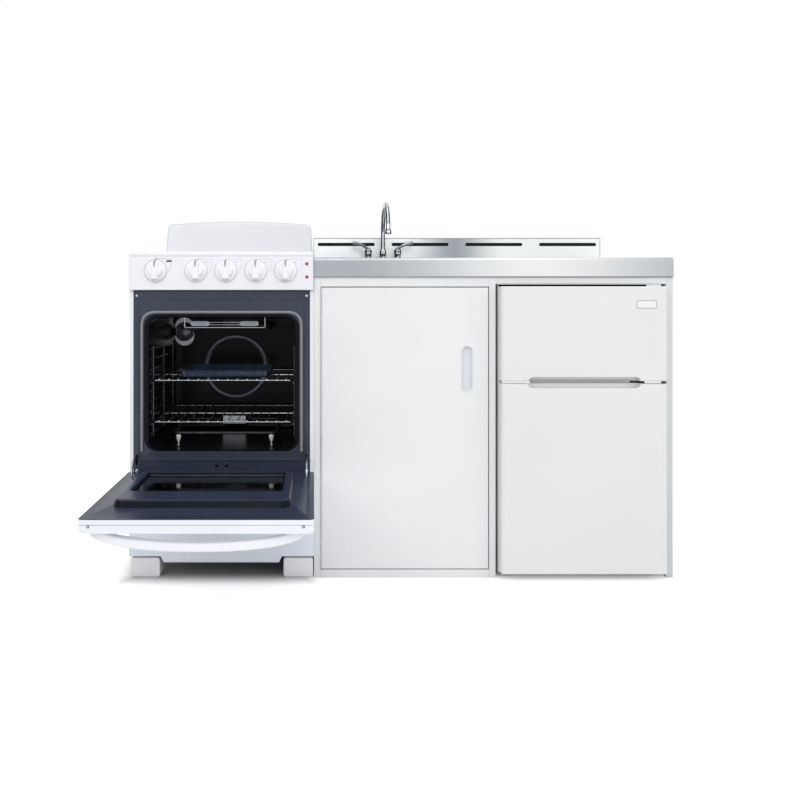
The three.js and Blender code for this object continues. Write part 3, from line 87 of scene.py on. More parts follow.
def ramp(tree, value, low, high, bottom=0.0, top=1.0, easing="LINEAR"):
    """How far a value lies from low to high, told as a value from bottom to top."""
    inputs = {"Value": value, "From Min": low, "From Max": high, "To Min": bottom, "To Max": top}
    return node(tree, "MapRange", inputs, interpolation_type=easing).outputs[0]


def open_group(name, **extra):
    """A surface group with its sockets, its way in and its way out."""
    tree = bpy.data.node_groups.new(name, "ShaderNodeTree")
    taken = {"Place": VECTOR, "Colour": TINT, "Shade": TINT, "Gloss": NUMBER, **extra}
    for socket, kind in taken.items():
        tree.interface.new_socket(socket, in_out="INPUT", socket_type=kind)
    for socket, kind in {"Colour": TINT, "Roughness": NUMBER, "Height": NUMBER}.items():
        tree.interface.new_socket(socket, in_out="OUTPUT", socket_type=kind)
    return tree, tree.nodes.new("NodeGroupInput").outputs, tree.nodes.new("NodeGroupOutput")


def close_group(tree, way_out, tone, gloss, height):
    for socket, value in zip(way_out.inputs, (tone, gloss, height)):
        tree.links.new(value, socket)
    return tree


def coat_group():
    """Slow drift of tone and gloss over a coated surface, with the fine texture it sets to."""
    tree, given, way_out = open_group("coat_drift", Patch=NUMBER, Grain=NUMBER, Spread=NUMBER)
    share = ramp(tree, noise(tree, given["Place"], given["Patch"], 3.0), 0.3, 0.7)
    tone = blend(tree, share, given["Colour"], given["Shade"])
    gloss = maths(tree, "MULTIPLY_ADD", share, given["Spread"], given["Gloss"])
    grain = noise(tree, given["Place"], given["Grain"])
    return close_group(tree, way_out, tone, gloss, grain)


COAT = coat_group()


def coated(name, tint, shade, gloss, spread=0.05, patch=5.0, grain=600.0, relief=0.05, **fixed):
    """A coated material. What is the same all over is set on the shader itself."""
    return surfaced(name, COAT, tint, shade, gloss, relief, fixed, Patch=patch, Grain=grain,
                    Spread=spread)


def surfaced(name, group, tint, shade, gloss, relief, fixed, **values):
    """A material whose colour, gloss and height come from one of the surface groups."""
    material = bpy.data.materials.new(name)
    material.use_nodes = True
    tree = material.node_tree
    place = node(tree, "TexCoord").outputs["Object"]
    values.update(Place=place, Colour=colour(tint), Shade=colour(shade), Gloss=gloss)
    drift = node(tree, "Group", values, node_tree=group).outputs
    shader = tree.nodes["Principled BSDF"].inputs
    for socket, value in fixed.items():
        shader[socket.replace("_", " ")].default_value = value
    bump = node(tree, "Bump", {"Strength": relief, "Distance": MM, "Height": drift["Height"]})
    tree.links.new(drift["Colour"], shader["Base Color"])
    tree.links.new(drift["Roughness"], shader["Roughness"])
    tree.links.new(bump.outputs["Normal"], shader["Normal"])
    return material


def piece(name, mesh):
    """An object of that mesh at the origin, with its points welded and its faces turned out."""
    made = bpy.data.objects.new(name, mesh)
    bpy.context.scene.collection.objects.link(made)
    shape = bmesh.new()
    shape.from_mesh(mesh)
    bmesh.ops.remove_doubles(shape, verts=shape.verts, dist=0.002 * MM)
    bmesh.ops.recalc_face_normals(shape, faces=shape.faces)
    shape.to_mesh(mesh)
    shape.free()
    return made


def dress(made, material, slot, *stands_for, body="root", crease=35):
    """Gives a piece its smooth shading, its finish and its place in the frame."""
    made.data.materials.clear()
    made.data.materials.append(material)
    made.data.shade_smooth()
    made.data.set_sharp_from_angle(angle=math.radians(crease))
    made.modifiers.new("flat_faces", "WEIGHTED_NORMAL").keep_sharp = True
    if stands_for:
        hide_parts(*stands_for)
    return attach(made, body)


def evaluated(made):
    """The mesh that an object's curve or modifiers make, in place of that object."""
    graph = bpy.context.evaluated_depsgraph_get()
    mesh = bpy.data.meshes.new_from_object(made.evaluated_get(graph))
    bpy.data.objects.remove(made)
    return mesh


def eased(name, source, edge=0.6, rounds=2):
    """A node's own shape with its bends and cut edges eased, as pressed sheet has them."""
    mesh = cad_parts[source].data.copy()
    made = piece(name + "_sharp", mesh)
    shape = bmesh.new()
    shape.from_mesh(mesh)
    bmesh.ops.dissolve_limit(shape, angle_limit=math.radians(1), verts=shape.verts,
                             edges=shape.edges)
    shape.to_mesh(mesh)
    shape.free()
    bevel = made.modifiers.new("ease", "BEVEL")
    bevel.width, bevel.segments, bevel.angle_limit = edge * MM, rounds, math.radians(30)
    return piece(name, evaluated(made))


white_enamel = coated("white_enamel", "EDEEF2", "E7E9EE", 0.2, grain=300.0, relief=0.04,
                      Coat_Weight=0.4)
dress(eased("casing_shell", "range_casing"), white_enamel, "white_enamel", "range_casing")

# ---- Base, kick panel and feet
# A grey steel pan closes the range below, over a rail along its back. The white kick panel is
# pressed with a deeper skirt between the feet. The front feet are pale plastic blocks on black
# levelling screws.

KICK_TOP, KICK_LOW, SKIRT_LOW, KICK_FRONT = 262, 62, 45, -10
FOOT_LEFTS, FOOT_WIDTH, FOOT_TOP = (2, RANGE_WIDTH - 86), 84, 56


def traced(name, loops, closed, dimensions, **settings):
    """The mesh of a curve through loops of points in metres."""
    curve = bpy.data.curves.new(name, "CURVE")
    curve.dimensions = dimensions
    for key, value in settings.items():
        setattr(curve, key, value)
    for loop in loops:
        spline = curve.splines.new("POLY")
        spline.points.add(len(loop) - 1)
        for point, place in zip(spline.points, loop):
            point.co = (*place, 1)
        spline.use_cyclic_u = closed
    holder = bpy.data.objects.new(name + "_line", curve)
    bpy.context.scene.collection.objects.link(holder)
    return evaluated(holder)


def plate(name, outline, low, high, plane="front", holes=(), edge=1.0, rounds=3):
    """A sheet cut to an outline with rounded edges, drawn on the front, flat or side plane."""
    loops = [[(u * MM, v * MM, 0) for u, v in loop] for loop in (outline, *holes)]
    mesh = traced(name, loops, True, "2D", fill_mode="BOTH", bevel_depth=edge * MM,
                  extrude=((high - low) / 2 - edge) * MM, bevel_resolution=rounds,
                  offset=-edge * MM)
    middle = (low + high) / 2 * MM
    turn = {"front": (0, 2, 1), "flat": (0, 1, 2), "side": (2, 0, 1)}[plane]
    for vertex in mesh.vertices:
        flat = (vertex.co.x, vertex.co.y, vertex.co.z + middle)
        vertex.co = CORNER + Vector([flat[i] for i in turn])
    return piece(name, mesh)


def arc(u, v, radius, start, end, steps=6):
    """Points on an arc round (u, v), with its angles in degrees."""
    turns = [math.radians(start + (end - start) * i / steps) for i in range(steps + 1)]
    return [(u + radius * math.cos(t), v + radius * math.sin(t)) for t in turns]


def ring_of(radius, x, y, steps=48):
    return arc(x, y, radius, 0, 360, steps)[:-1]


def rounded(u0, u1, v0, v1, radius, steps=6):
    """A rectangle with round corners, as a loop of points."""
    return [
        *arc(u1 - radius, v0 + radius, radius, -90, 0, steps),
        *arc(u1 - radius, v1 - radius, radius, 0, 90, steps),
        *arc(u0 + radius, v1 - radius, radius, 90, 180, steps),
        *arc(u0 + radius, v0 + radius, radius, 180, 270, steps),
    ]


def shrunk(box, inset, radius, steps=6):
    """The same shape inside a box of two spans, that far from its sides."""
    u0, u1, v0, v1 = box
    return rounded(u0 + inset, u1 - inset, v0 + inset, v1 - inset, radius, steps)


def centred(u, v, half_u, half_v, radius, steps=6):
    """The same shape round a middle, from its half width and half height."""
    return rounded(u - half_u, u + half_u, v - half_v, v + half_v, radius, steps)


def level(loop, height):
    return [(u, v, height) for u, v in loop]


def upright(loop, depth):
    return [(u, depth, v) for u, v in loop]


def formed(name, shape):
    """An object of the mesh that was built in shape."""
    mesh = bpy.data.meshes.new(name)
    shape.to_mesh(mesh)
    shape.free()
    return piece(name, mesh)


def bridge(shape, rings):
    """Faces between rings of points. A ring of one point is a tip."""
    for near, far in zip(rings, rings[1:]):
        for i in range(max(len(near), len(far))):
            j = i + 1
            loop = (near[i % len(near)], near[j % len(near)], far[j % len(far)], far[i % len(far)])
            corners = list(dict.fromkeys(loop))
            if len(corners) > 2:
                shape.faces.new(corners)


def turned(name, profile, x, y, z, facing="up", steps=48):
    """A profile of (radius, height) turned round an axis that starts at the place."""
    shape = bmesh.new()
    rings = []
    for radius, height in profile:
        spots = ring_of(radius, 0, 0, steps) if radius else [(0, 0)]
        spots = level(spots, height) if facing == "up" else upright(spots, -height)
        rings.append([shape.verts.new(at(x, y, z) + Vector(spot) * MM) for spot in spots])
    bridge(shape, rings)
    return formed(name, shape)


def merged(name, *parts):
    """Several pieces as one object."""
    shape = bmesh.new()
    for part in parts:
        shape.from_mesh(part.data)
        bpy.data.objects.remove(part)
    return formed(name, shape)


# The kick's enamel is a lighter, bluer copy of the white enamel, to lift it out of the shade under
# the door: painted light.
kick_lit_enamel = coated("kick_lit_enamel", "EFF3FD", "EDF1FB", 0.24, grain=300.0, relief=0.04)
zinc_steel = coated("zinc_steel", "A4A8AC", "8C9196", 0.38, spread=0.14, patch=30.0, relief=0.08,
                    Metallic=0.8)
foot_plastic = coated("foot_plastic", "FAFBFE", "F5F6FA", 0.42, grain=1400.0, relief=0.12)
screw_black = coated("screw_black", "17181A", "222326", 0.45, grain=900.0, relief=0.1)

dress(eased("base_pan", "range_base", 0.8), zinc_steel, "grey_steel", "range_base")
dress(eased("rear_rail", "rear_foot_rail", 0.9), zinc_steel, "grey_steel", "rear_foot_rail")

kick_outline = [(0, KICK_LOW), (90, KICK_LOW), (98, SKIRT_LOW), (RANGE_WIDTH - 98, SKIRT_LOW),
                (RANGE_WIDTH - 90, KICK_LOW), (RANGE_WIDTH, KICK_LOW), (RANGE_WIDTH, KICK_TOP),
                (0, KICK_TOP)]
kick = merged(
    "kick_pan",
    plate("kick_face", kick_outline, KICK_FRONT, -0.3, edge=2.4),
    plate("kick_crease", rounded(30, RANGE_WIDTH - 30, 196, 200, 1.9), -10.6, -8, edge=0.6),
)
dress(kick, kick_lit_enamel, "white_enamel", "kick_panel")
for side, left in zip(("left", "right"), FOOT_LEFTS):
    block = plate(f"foot_block_{side}", rounded(left, left + FOOT_WIDTH, 0, FOOT_TOP, 8), 1.5, 61.5,
                  edge=3)
    dress(block, foot_plastic, "foot_plastic", f"foot_front_{side}")
    screw = turned(f"foot_screw_{side}",
                   [(0, -0.8), (7, -0.8), (7, 0.2), (9.5, 0.5), (9.5, 5.6), (0, 5.9)],
                   left + FOOT_WIDTH / 2, 31.5, FOOT_TOP)
    dress(screw, screw_black, "heater_black")

# ---- Hob
# One pressed and enamelled top with a raised rim and a round front roll. Four chromed drip
# bowls hang in its holes, and the sheathed heating coils plug in over them on flat spiders.

RIM_TOP, FIELD_TOP = 921, 915
HOB_FRONT, HOB_BACK, GUARD_FRONT = 16.3, 629.5, 589.5
ROLL_FRONT, ROLL_LOW, ROLL_CORNER = -13.8, 909.1, 11
COIL_START, COIL_PITCH, COIL_LEVEL = 20.6, 17, FIELD_TOP + 6.9
SPIDER_OVER, SPIDER_HALF = 13.5, 1.5
HOBS = {
    "front_left": (134, 160, 94),
    "rear_left": (134, 425, 73),
    "rear_right": (RANGE_WIDTH - 134, 425, 94),
    "front_right": (RANGE_WIDTH - 134, 160, 73),
}


def tube(name, points, radius, sides=10, closed=False):
    """A round bar or wire through the points, in millimetres."""
    mesh = traced(name, [[at(*point) for point in points]], closed, "3D", use_fill_caps=True,
                  bevel_depth=radius * MM, bevel_resolution=max(0, sides // 2 - 2))
    return piece(name, mesh)


def loft(name, rings, caps=True):
    """A skin through rings of points in millimetres, with its two ends closed."""
    shape = bmesh.new()
    made = [[shape.verts.new(at(*point)) for point in ring] for ring in rings]
    bridge(shape, made)
    for ring in (made[0], made[-1]) if caps else ():
        shape.faces.new(ring)
    return formed(name, shape)


def roll_ring(x, from_end):
    """Section of the front roll, which drops in an arc towards each end."""
    drop = ROLL_CORNER - math.sqrt(max(0, ROLL_CORNER**2 - max(0, ROLL_CORNER - from_end) ** 2))
    high = RIM_TOP - 0.2 - drop
    nose = min(5, (high - ROLL_LOW) / 2)
    section = [(22, ROLL_LOW), (22, high), *arc(ROLL_FRONT + nose, high - nose, nose, 90, 180),
               (ROLL_FRONT, ROLL_LOW + 0.5), (ROLL_FRONT + 0.5, ROLL_LOW)]
    return [(x, u, v) for u, v in section]


def chrome_group():
    """Painted reflection: light and dark bands, set by which way the surface faces, like those that
    bright plating carries round its curves.
    """
    tree, given, way_out = open_group("painted_reflection_bands", Facing=VECTOR, Depth=NUMBER)
    side = node(tree, "SeparateXYZ", {0: given["Facing"]}).outputs
    turn = maths(tree, "ARCTAN2", side[1], side[0])
    around = maths(tree, "COSINE", maths(tree, "MULTIPLY", turn, 4.0))
    upward = maths(tree, "COSINE", maths(tree, "MULTIPLY", side[2], 7.0))
    steep = maths(tree, "ABSOLUTE", side[2])
    bands = node(tree, "Mix", {0: steep, 2: around, 3: upward}, data_type="FLOAT").outputs[0]
    dark = ramp(tree, bands, 0.1, -0.75, 0.0, given["Depth"], "SMOOTHSTEP")
    tone = blend(tree, dark, given["Colour"], given["Shade"])
    haze = noise(tree, given["Place"], 40.0)
    gloss = maths(tree, "MULTIPLY_ADD", haze, 0.06, given["Gloss"])
    return close_group(tree, way_out, tone, gloss, haze)


PLATED = chrome_group()


def plated(name, tint, shade, gloss, depth):
    made = surfaced(name, PLATED, tint, shade, gloss, 0.01, {"Metallic": 1.0}, Depth=depth)
    nodes = made.node_tree.nodes
    made.node_tree.links.new(nodes["Texture Coordinate"].outputs["Normal"],
                             nodes["Group"].inputs["Facing"])
    return made


chrome = plated("chrome_plate", "D6D8DB", "8A8E94", 0.06, 0.7)
coil_black = coated("coil_sheath", "232326", "2E2A28", 0.5, spread=0.2, patch=60.0, grain=1500.0,
                    relief=0.25)

roll_stops = [0.05, 0.4, 1.2, 2.6, 4.6, 7, 9.6, ROLL_CORNER]
roll_rings = [roll_ring(0.8 + s, s) for s in roll_stops]
roll_rings += [roll_ring(RANGE_WIDTH - 0.8 - s, s) for s in reversed(roll_stops)]
hob_outline = rounded(0.4, RANGE_WIDTH - 0.4, HOB_FRONT, HOB_BACK, 6)
field = rounded(12, RANGE_WIDTH - 12, 28.3, GUARD_FRONT - 12, 20)
hob = merged(
    "hob_top",
    plate("hob_rim", hob_outline, FIELD_TOP - 2, RIM_TOP, "flat", [field], edge=2.2),
    plate("hob_skirt", hob_outline, 899, FIELD_TOP, "flat",
          [rounded(3, RANGE_WIDTH - 3, 19.3, 626.5, 4)], edge=0.4),
    plate("hob_field", rounded(6, RANGE_WIDTH - 6, 22, 600, 20), 911.8, FIELD_TOP, "flat",
          [ring_of(radius + 10, x, y) for x, y, radius in HOBS.values()], edge=1.2),
    loft("hob_roll", roll_rings),
)
dress(hob, white_enamel, "white_enamel", "cooktop")

for spot, (x, y, radius) in HOBS.items():
    wall = radius + 9.4
    bowl = turned(
        f"bowl_{spot}",
        [(18, -19), (18, -20), (wall * 0.6, -17), (wall, -7), (wall, 0.1), (wall + 9, 0.1),
         (wall + 9.4, 0.6), (wall + 8.6, 1), (wall - 0.4, 1), (wall - 1.4, -7), (wall * 0.6, -16),
         (18, -19)],
        x, y, FIELD_TOP, steps=64,
    )
    dress(bowl, chrome, "chrome", f"drip_bowl_{spot}", crease=50)
    turns = (radius - COIL_START) // COIL_PITCH
    steps = int(turns * 40)
    track = []
    for i in range(steps + 1):
        angle = turns * math.tau * i / steps
        reach = COIL_START + (radius - COIL_START) * i / steps
        track.append((x + reach * math.cos(angle), y + reach * math.sin(angle), COIL_LEVEL))
    spider = []
    for third in range(3):
        turn = third * math.tau / 3 + math.pi / 2
        over = radius + SPIDER_OVER
        tip = over * math.cos(turn), over * math.sin(turn)
        side = -SPIDER_HALF * math.sin(turn), SPIDER_HALF * math.cos(turn)
        arm = [(x + e * tip[0] + s * side[0], y + e * tip[1] + s * side[1])
               for e, s in ((0.03, -1), (1, -1), (1, 1), (0.03, 1))]
        spider.append(plate("arm", arm, FIELD_TOP + 1.3, FIELD_TOP + 5.2, "flat", edge=0.4))
    cap = turned("cap", [(0, 7), (12, 7), (13, 6), (13, 1.5), (0, 1.5)], x, y, FIELD_TOP)
    coil = merged(f"coil_{spot}", tube("loop", track, 3.5), cap, *spider)
    dress(coil, coil_black, "heater_black", f"coil_heater_{spot}")

# ---- Backguard
# An enamelled upstand along the hob's back, a little narrower at the top, with a low arch and
# softly rolled edges. It is closed behind, and its middle is bare.

GUARD_TOP, GUARD_TAPER, GUARD_ARCH, CROWN_STEPS = 1053, 9, 10, 24


def guard_outline(inset):
    left, right, top = GUARD_TAPER + inset, RANGE_WIDTH - GUARD_TAPER - inset, GUARD_TOP - inset
    shares = [i / CROWN_STEPS for i in range(1, CROWN_STEPS)]
    crown = [(right - 14 + (left + 28 - right) * s, top + 4 * GUARD_ARCH * s * (1 - s))
             for s in shares]
    return [(inset, RIM_TOP + inset), (RANGE_WIDTH - inset, RIM_TOP + inset),
            *arc(right - 14, top - 14, 14, 0, 84), *crown, *arc(left + 14, top - 14, 14, 96, 180)]


guard = merged(
    "backguard_shell",
    plate("guard_face", guard_outline(0), GUARD_FRONT, 629.4, edge=6, rounds=5),
    plate("guard_panel", guard_outline(13), GUARD_FRONT - 0.35, GUARD_FRONT + 3, edge=0.5),
)
dress(guard, white_enamel, "white_enamel", "backguard")
# A grey line along the rolled edge of the front is painted shade.
edge_line = guard_outline(1.35)
edge_path = upright(edge_line[1:] + edge_line[:1], GUARD_FRONT + 2.4)
painted_rim_shade = coated("painted_rim_shade", "C3C5CA", "BABCC2", 0.3, relief=0.04)
dress(tube("backguard_shade_line", edge_path, 1.2, 8), painted_rim_shade, "white_enamel")

# ---- Control panel
# A pressed white panel under the hob's front roll, with rounded upper corners. Screws behind
# it hold it to the casing. Fine printed marks stand round each knob.

PANEL_LOW, PANEL_HIGH, PANEL_FRONT = 813, 908.6, -14
KNOB_HEIGHT = 867
KNOBS = {"oven_knob": 76, **{f"hob_knob_{i + 1}": 190 + 84 * i for i in range(4)}}
LAMP_X, LAMP_HEIGHTS = 502, {"oven": 887, "hob": 850}

panel_outline = [(0.6, PANEL_LOW), (RANGE_WIDTH - 0.6, PANEL_LOW),
                 *arc(RANGE_WIDTH - 2.8, PANEL_HIGH - 2, 2, 0, 90),
                 *arc(2.8, PANEL_HIGH - 2, 2, 90, 180)]
shaft_holes = [ring_of(4.2, x, KNOB_HEIGHT, 20) for x in KNOBS.values()]
lamp_holes = [ring_of(3.3, LAMP_X, height, 20) for height in LAMP_HEIGHTS.values()]
panel = merged(
    "panel_face",
    plate("panel_front", panel_outline, PANEL_FRONT, -9.2, holes=shaft_holes + lamp_holes,
          edge=2.3, rounds=4),
    plate("panel_sides", panel_outline, -12, 15.8,
          holes=[rounded(4, RANGE_WIDTH - 4, PANEL_LOW + 3, PANEL_HIGH - 9, 9)], edge=0.6),
)
dress(panel, white_enamel, "white_enamel", "control_panel")

# ---- Knobs
# Skirted push-turn knobs moulded in white plastic: a flat disc, a low ring and a straight
# grip bar across the middle, with a grey index mark. Each is pressed onto a steel shaft.

KNOB_BACK, HALO = -14.3, 32.4
DISC = [(0, -14), (2.9, -14), (2.9, 0), (28.8, 0), (29.8, 0.8), (30, 1.8), (29.4, 3), (27.6, 4.2),
        (25.6, 4.9), (24.8, 5.6), (23.6, 5.7), (22.6, 5.4), (21.4, 6.6), (20.2, 10.5),
        (18.6, 14.6), (16.8, 16.4), (12, 17), (0, 17.2)]
GRIP_BAR = ((3, 12, 28.4), (8, 11.4, 27.8), (13, 10.8, 26.6), (17, 10, 25.2), (20, 9, 23.8),
            (21.6, 7.6, 22.2), (22.2, 6, 20.4))
INDEX = ((2, 3.6, 30.2), (4.8, 3.6, 29.4), (20.4, 3.2, 24.6), (22.6, 3, 20.8))
FLAME = ((2, 34.6), (16, 34.8), (32, 34), (43, 32.6), (46.6, 30), (45.4, 20), (41, 6), (35, -6))
SETTING_BAR = ((28, 25), (44, 25), (45.4, 30), (33, 30))
OFF_MARK = ((-1, 33.6), (5, 36.4), (5, 37.6), (-1, 35.6))

white_plastic = coated("white_plastic", "F2F3F5", "EDEEF1", 0.3, grain=1200.0, relief=0.05,
                       Coat_Weight=0.1)
print_grey = coated("print_grey", "8D9096", "83868C", 0.45, relief=0.02)
print_pale = coated("print_pale", "B9BDC4", "B0B4BC", 0.45, relief=0.02)
print_mid = coated("print_mid", "9EA1A8", "94979E", 0.45, relief=0.02)
print_black = coated("print_black", "1D1E22", "26272B", 0.45, relief=0.02)


def shifted(spots, x, z):
    return [(x + u, z + v) for u, v in spots]


for name, x in KNOBS.items():
    oven = name == "oven_knob"
    body = f"{name}_body"
    disc = turned("disc", DISC, x, KNOB_BACK, KNOB_HEIGHT, "front", 64)
    grip = [upright(centred(x, KNOB_HEIGHT, half, reach, half * 0.55, 5), KNOB_BACK - depth)
            for depth, half, reach in GRIP_BAR]
    dress(merged(body, disc, loft("grip", grip)), white_plastic, "white_plastic", name, body=body,
          crease=40)
    index = [upright(shifted(((-0.8, 9), (0.8, 9), (half, high), (-half, high)), x, KNOB_HEIGHT),
                     KNOB_BACK - depth) for depth, half, high in INDEX]
    dress(loft(f"{name}_index", index), print_mid, "white_plastic", body=body)
    halo = tube(f"{name}_halo", upright(ring_of(HALO, x, KNOB_HEIGHT), PANEL_FRONT - 0.02),
                0.5 if oven else 0.4, 4, True)
    flame = tube("setting_flame", upright(shifted(FLAME, x, KNOB_HEIGHT), PANEL_FRONT),
                 0.45 if oven else 0.3, 4)
    dress(merged(f"{name}_marks", halo, flame), print_mid if oven else print_pale, "white_enamel")
    if oven:
        ink = [plate("ink", shifted(mark, x, KNOB_HEIGHT), PANEL_FRONT - 0.15, PANEL_FRONT + 0.2,
                     edge=0.1) for mark in (SETTING_BAR, OFF_MARK)]
    else:
        ink = [plate("ink", ring_of(1.6, x + 28, KNOB_HEIGHT + 25, 16), PANEL_FRONT - 0.12,
                     PANEL_FRONT + 0.2, edge=0.1)]
    dress(merged(f"{name}_ink", *ink), print_black if oven else print_grey, "white_enamel")

# ---- Indicator lamps
# Two small red lenses at the panel's right end, each with a dark tip, one for the oven and
# one for the hob.

LENS = [(0, -10), (2.9, -10), (2.9, 0), (4.4, 0), (4.5, 0.9), (3.9, 2.2), (2.5, 3.2), (1.9, 3.2)]

red_lens = coated("red_lens", "C41A20", "A8141A", 0.12, relief=0.02, Coat_Weight=0.5)
lens_dark = coated("lens_collar", "3A1416", "2A1012", 0.3, relief=0.05)
for name, height in LAMP_HEIGHTS.items():
    spot = (LAMP_X, PANEL_FRONT - 0.1, height, "front")
    dress(turned(f"{name}_lens", LENS, *spot), red_lens, "red_lens", f"{name}_lamp_indicator",
          crease=60)
    core = turned(f"{name}_lens_core", [(2, 3.1), (1.6, 3.5), (0, 3.6)], *spot)
    dress(core, lens_dark, "red_lens")

# ---- Oven front
# A flat pressed frame in speckled dark blue enamel round the oven's mouth, screwed to the
# casing's folded edges. It has raised rolls down both sides, a header strip under the panel,
# two vent holes, and a slot at each side where the door's hinge arm runs through.

FRAME_LOW, FRAME_HIGH, FRAME_BACK = 263, 812.7, 2
MIDDLE = RANGE_WIDTH / 2
MOUTH = (MIDDLE - 219.5, MIDDLE + 219.5, 356, 745)
ARM_LEFTS, ROLL_LEFTS = (18, RANGE_WIDTH - 22), (15.5, RANGE_WIDTH - 27.5)


def speckle_group():
    """Vitreous enamel: a ground colour with fine pale specks and a slight waviness."""
    tree, given, way_out = open_group("enamel_speckle", Speck=TINT, Fineness=NUMBER, Share=NUMBER)
    drift = noise(tree, given["Place"], 9.0)
    ground = blend(tree, drift, given["Colour"], given["Shade"])
    cells = noise(tree, given["Place"], given["Fineness"], 1.0)
    specks = maths(tree, "GREATER_THAN", cells, given["Share"])
    tone = blend(tree, maths(tree, "MULTIPLY", specks, 0.45), ground, given["Speck"])
    gloss = maths(tree, "MULTIPLY_ADD", drift, 0.08, given["Gloss"])
    return close_group(tree, way_out, tone, gloss, cells)


SPECKLE = speckle_group()


def speckled(name, tint, shade, speck, gloss, share=0.63, fineness=1100.0, **fixed):
    return surfaced(name, SPECKLE, tint, shade, gloss, 0.08, fixed, Fineness=fineness, Share=share,
                    Speck=colour(speck))


blue_enamel = speckled("blue_enamel", "242A39", "2F3748", "6A728A", 0.24, Coat_Weight=0.15,
                       Specular_IOR_Level=0.3)
arm_slots = [rounded(left - 1, left + 5, 317, 346, 2.4) for left in ARM_LEFTS]
vents = [centred(MIDDLE + s * 14, 315, 5, 3, 2.9) for s in (-1, 1)]
mouth_loop = rounded(*MOUTH, 38, 12)
lip = plate("lip_ring", shrunk(MOUTH, -5, 43, 12), -0.8, 1.2, holes=[mouth_loop], edge=0.9)
front = merged(
    "oven_front",
    plate("front_sheet", rounded(11.3, RANGE_WIDTH - 11.3, FRAME_LOW, FRAME_HIGH, 1), 0, FRAME_BACK,
          holes=[mouth_loop, *arm_slots, *vents], edge=0.5),
    plate("header", rounded(13, RANGE_WIDTH - 13, 786, 811, 3), -1.1, 0.4, edge=1),
    plate("lower_band", rounded(28, RANGE_WIDTH - 28, 329, 336, 3.4), -1.3, 0.4, edge=1.1),
    lip,
    *[plate("side_roll", rounded(left, left + 12, 348, 782, 5.9), -1.6, 0.4, edge=1.5, rounds=4)
      for left in ROLL_LEFTS],
)
dress(front, blue_enamel, "blue_enamel", "oven_front_frame")

screw_steel = coated("screw_steel", "B9BCC0", "9DA1A6", 0.25, patch=60.0, relief=0.1, Metallic=1.0)
screws = [turned("screw", [(4.2, 0), (4.2, 0.6), (2.8, 1.7), (0.9, 1.9), (0.9, 1.2), (0, 1.2)],
                 x, -0.02, z, "front", 24) for x in (20.5, RANGE_WIDTH - 20.5) for z in (302, 797)]
dress(merged("front_screws", *screws), screw_steel, "chrome")

# ---- Oven cavity
# A deep box in glossy near-black enamel, welded behind the front. Its corners are round, a
# dish is pressed in the back wall, and ribbed guides along both sides carry the racks.

CAVITY = (MIDDLE - 205.5, MIDDLE + 205.5, 360, 735)
CAVITY_BACK, DISH_HEIGHT = 450.5, 563.5
RACK_HEIGHTS = {"upper_rack": 555, "lower_rack": 436}

black_enamel = speckled("black_enamel", "0C0D11", "121318", "30343E", 0.16, 0.66, 900.0,
                        Specular_IOR_Level=0.08)
# The guides and the dish are lighter, glossier copies of the cavity's enamel, so they catch
# highlights: painted light.
lit_enamel = speckled("lit_pressing_enamel", "1C1D23", "23252D", "6A7080", 0.1, 0.66, 900.0,
                      Coat_Weight=0.8)
dish_lit_enamel = speckled("dish_lit_enamel", "42475A", "505668", "868EA4", 0.2, Coat_Weight=0.6)


def cavity_rings(*rows):
    """Rings of the cavity, each from its inset, corner radius and depth."""
    return [upright(shrunk(CAVITY, inset, radius, 8), depth) for inset, radius, depth in rows]


flange = shrunk(MOUTH, -10, 40, 8)
shell = loft("cavity_walls", [
    *cavity_rings((30, 12, 452), (-1.5, 22, 452), (-1.5, 22, 3.6)),
    upright(flange, 3.6), upright(flange, 2.1),
    *cavity_rings((-3, 26, 2.1), (0, 24, 6), (0, 20, 438), (3, 18, 447), (12, 14, CAVITY_BACK),
                  (30, 12, CAVITY_BACK)),
])
dish = turned("dish", [(112, -0.4), (109, 2), (105, 3.2), (101, 3.6), (97, 3.2), (93, 2),
                       (90, -0.4)], MIDDLE, CAVITY_BACK, DISH_HEIGHT, "front", 96)
guides = []
for side in (-1, 1):
    wall = MIDDLE + side * 205.4
    for height in RACK_HEIGHTS.values():
        z = height - 5.6
        guides.append(tube("ledge", [(wall - side * 3, 26, z), (wall - side * 3, 448, z)], 2.5, 8))
    x = wall - side * 0.6
    ribs = [((x, 30, z), (x, 440, z)) for z in (400, 466, 495, 524, 585, 614, 644)]
    posts = [((x, y, 392), (x, y, 652)) for y in (62, 236, 410)]
    guides += [tube("rib", run, 2.2, 8) for run in ribs + posts]
dress(shell, black_enamel, "black_enamel", "oven_cavity", crease=50)
dress(merged("cavity_guides", *guides), lit_enamel, "black_enamel", crease=50)
dress(dish, dish_lit_enamel, "black_enamel", crease=50)

# ---- Oven seal
# A braided glass-fibre tube over a wire, clipped round three sides of the mouth.

SEAL_HALF, SEAL_LOW, SEAL_TOP, SEAL_Y = 225.5, 358, MOUTH[3] + 6, -4.2

seal_braid = coated("seal_braid", "929298", "7C7C83", 0.85, spread=0.1, patch=300.0, grain=1400.0,
                    relief=0.9)


def bent(points, radius, steps=8):
    """Straight runs through the points with each corner bent to the radius."""
    corners = [Vector(point) for point in points]
    path = [tuple(corners[0])]
    for before, corner, after in zip(corners, corners[1:], corners[2:]):
        near = corner + (before - corner).normalized() * radius
        far = corner + (after - corner).normalized() * radius
        for i in range(steps + 1):
            t = i / steps
            path.append(tuple(near * (1 - t) ** 2 + corner * 2 * t * (1 - t) + far * t * t))
    return [*path, tuple(corners[-1])]


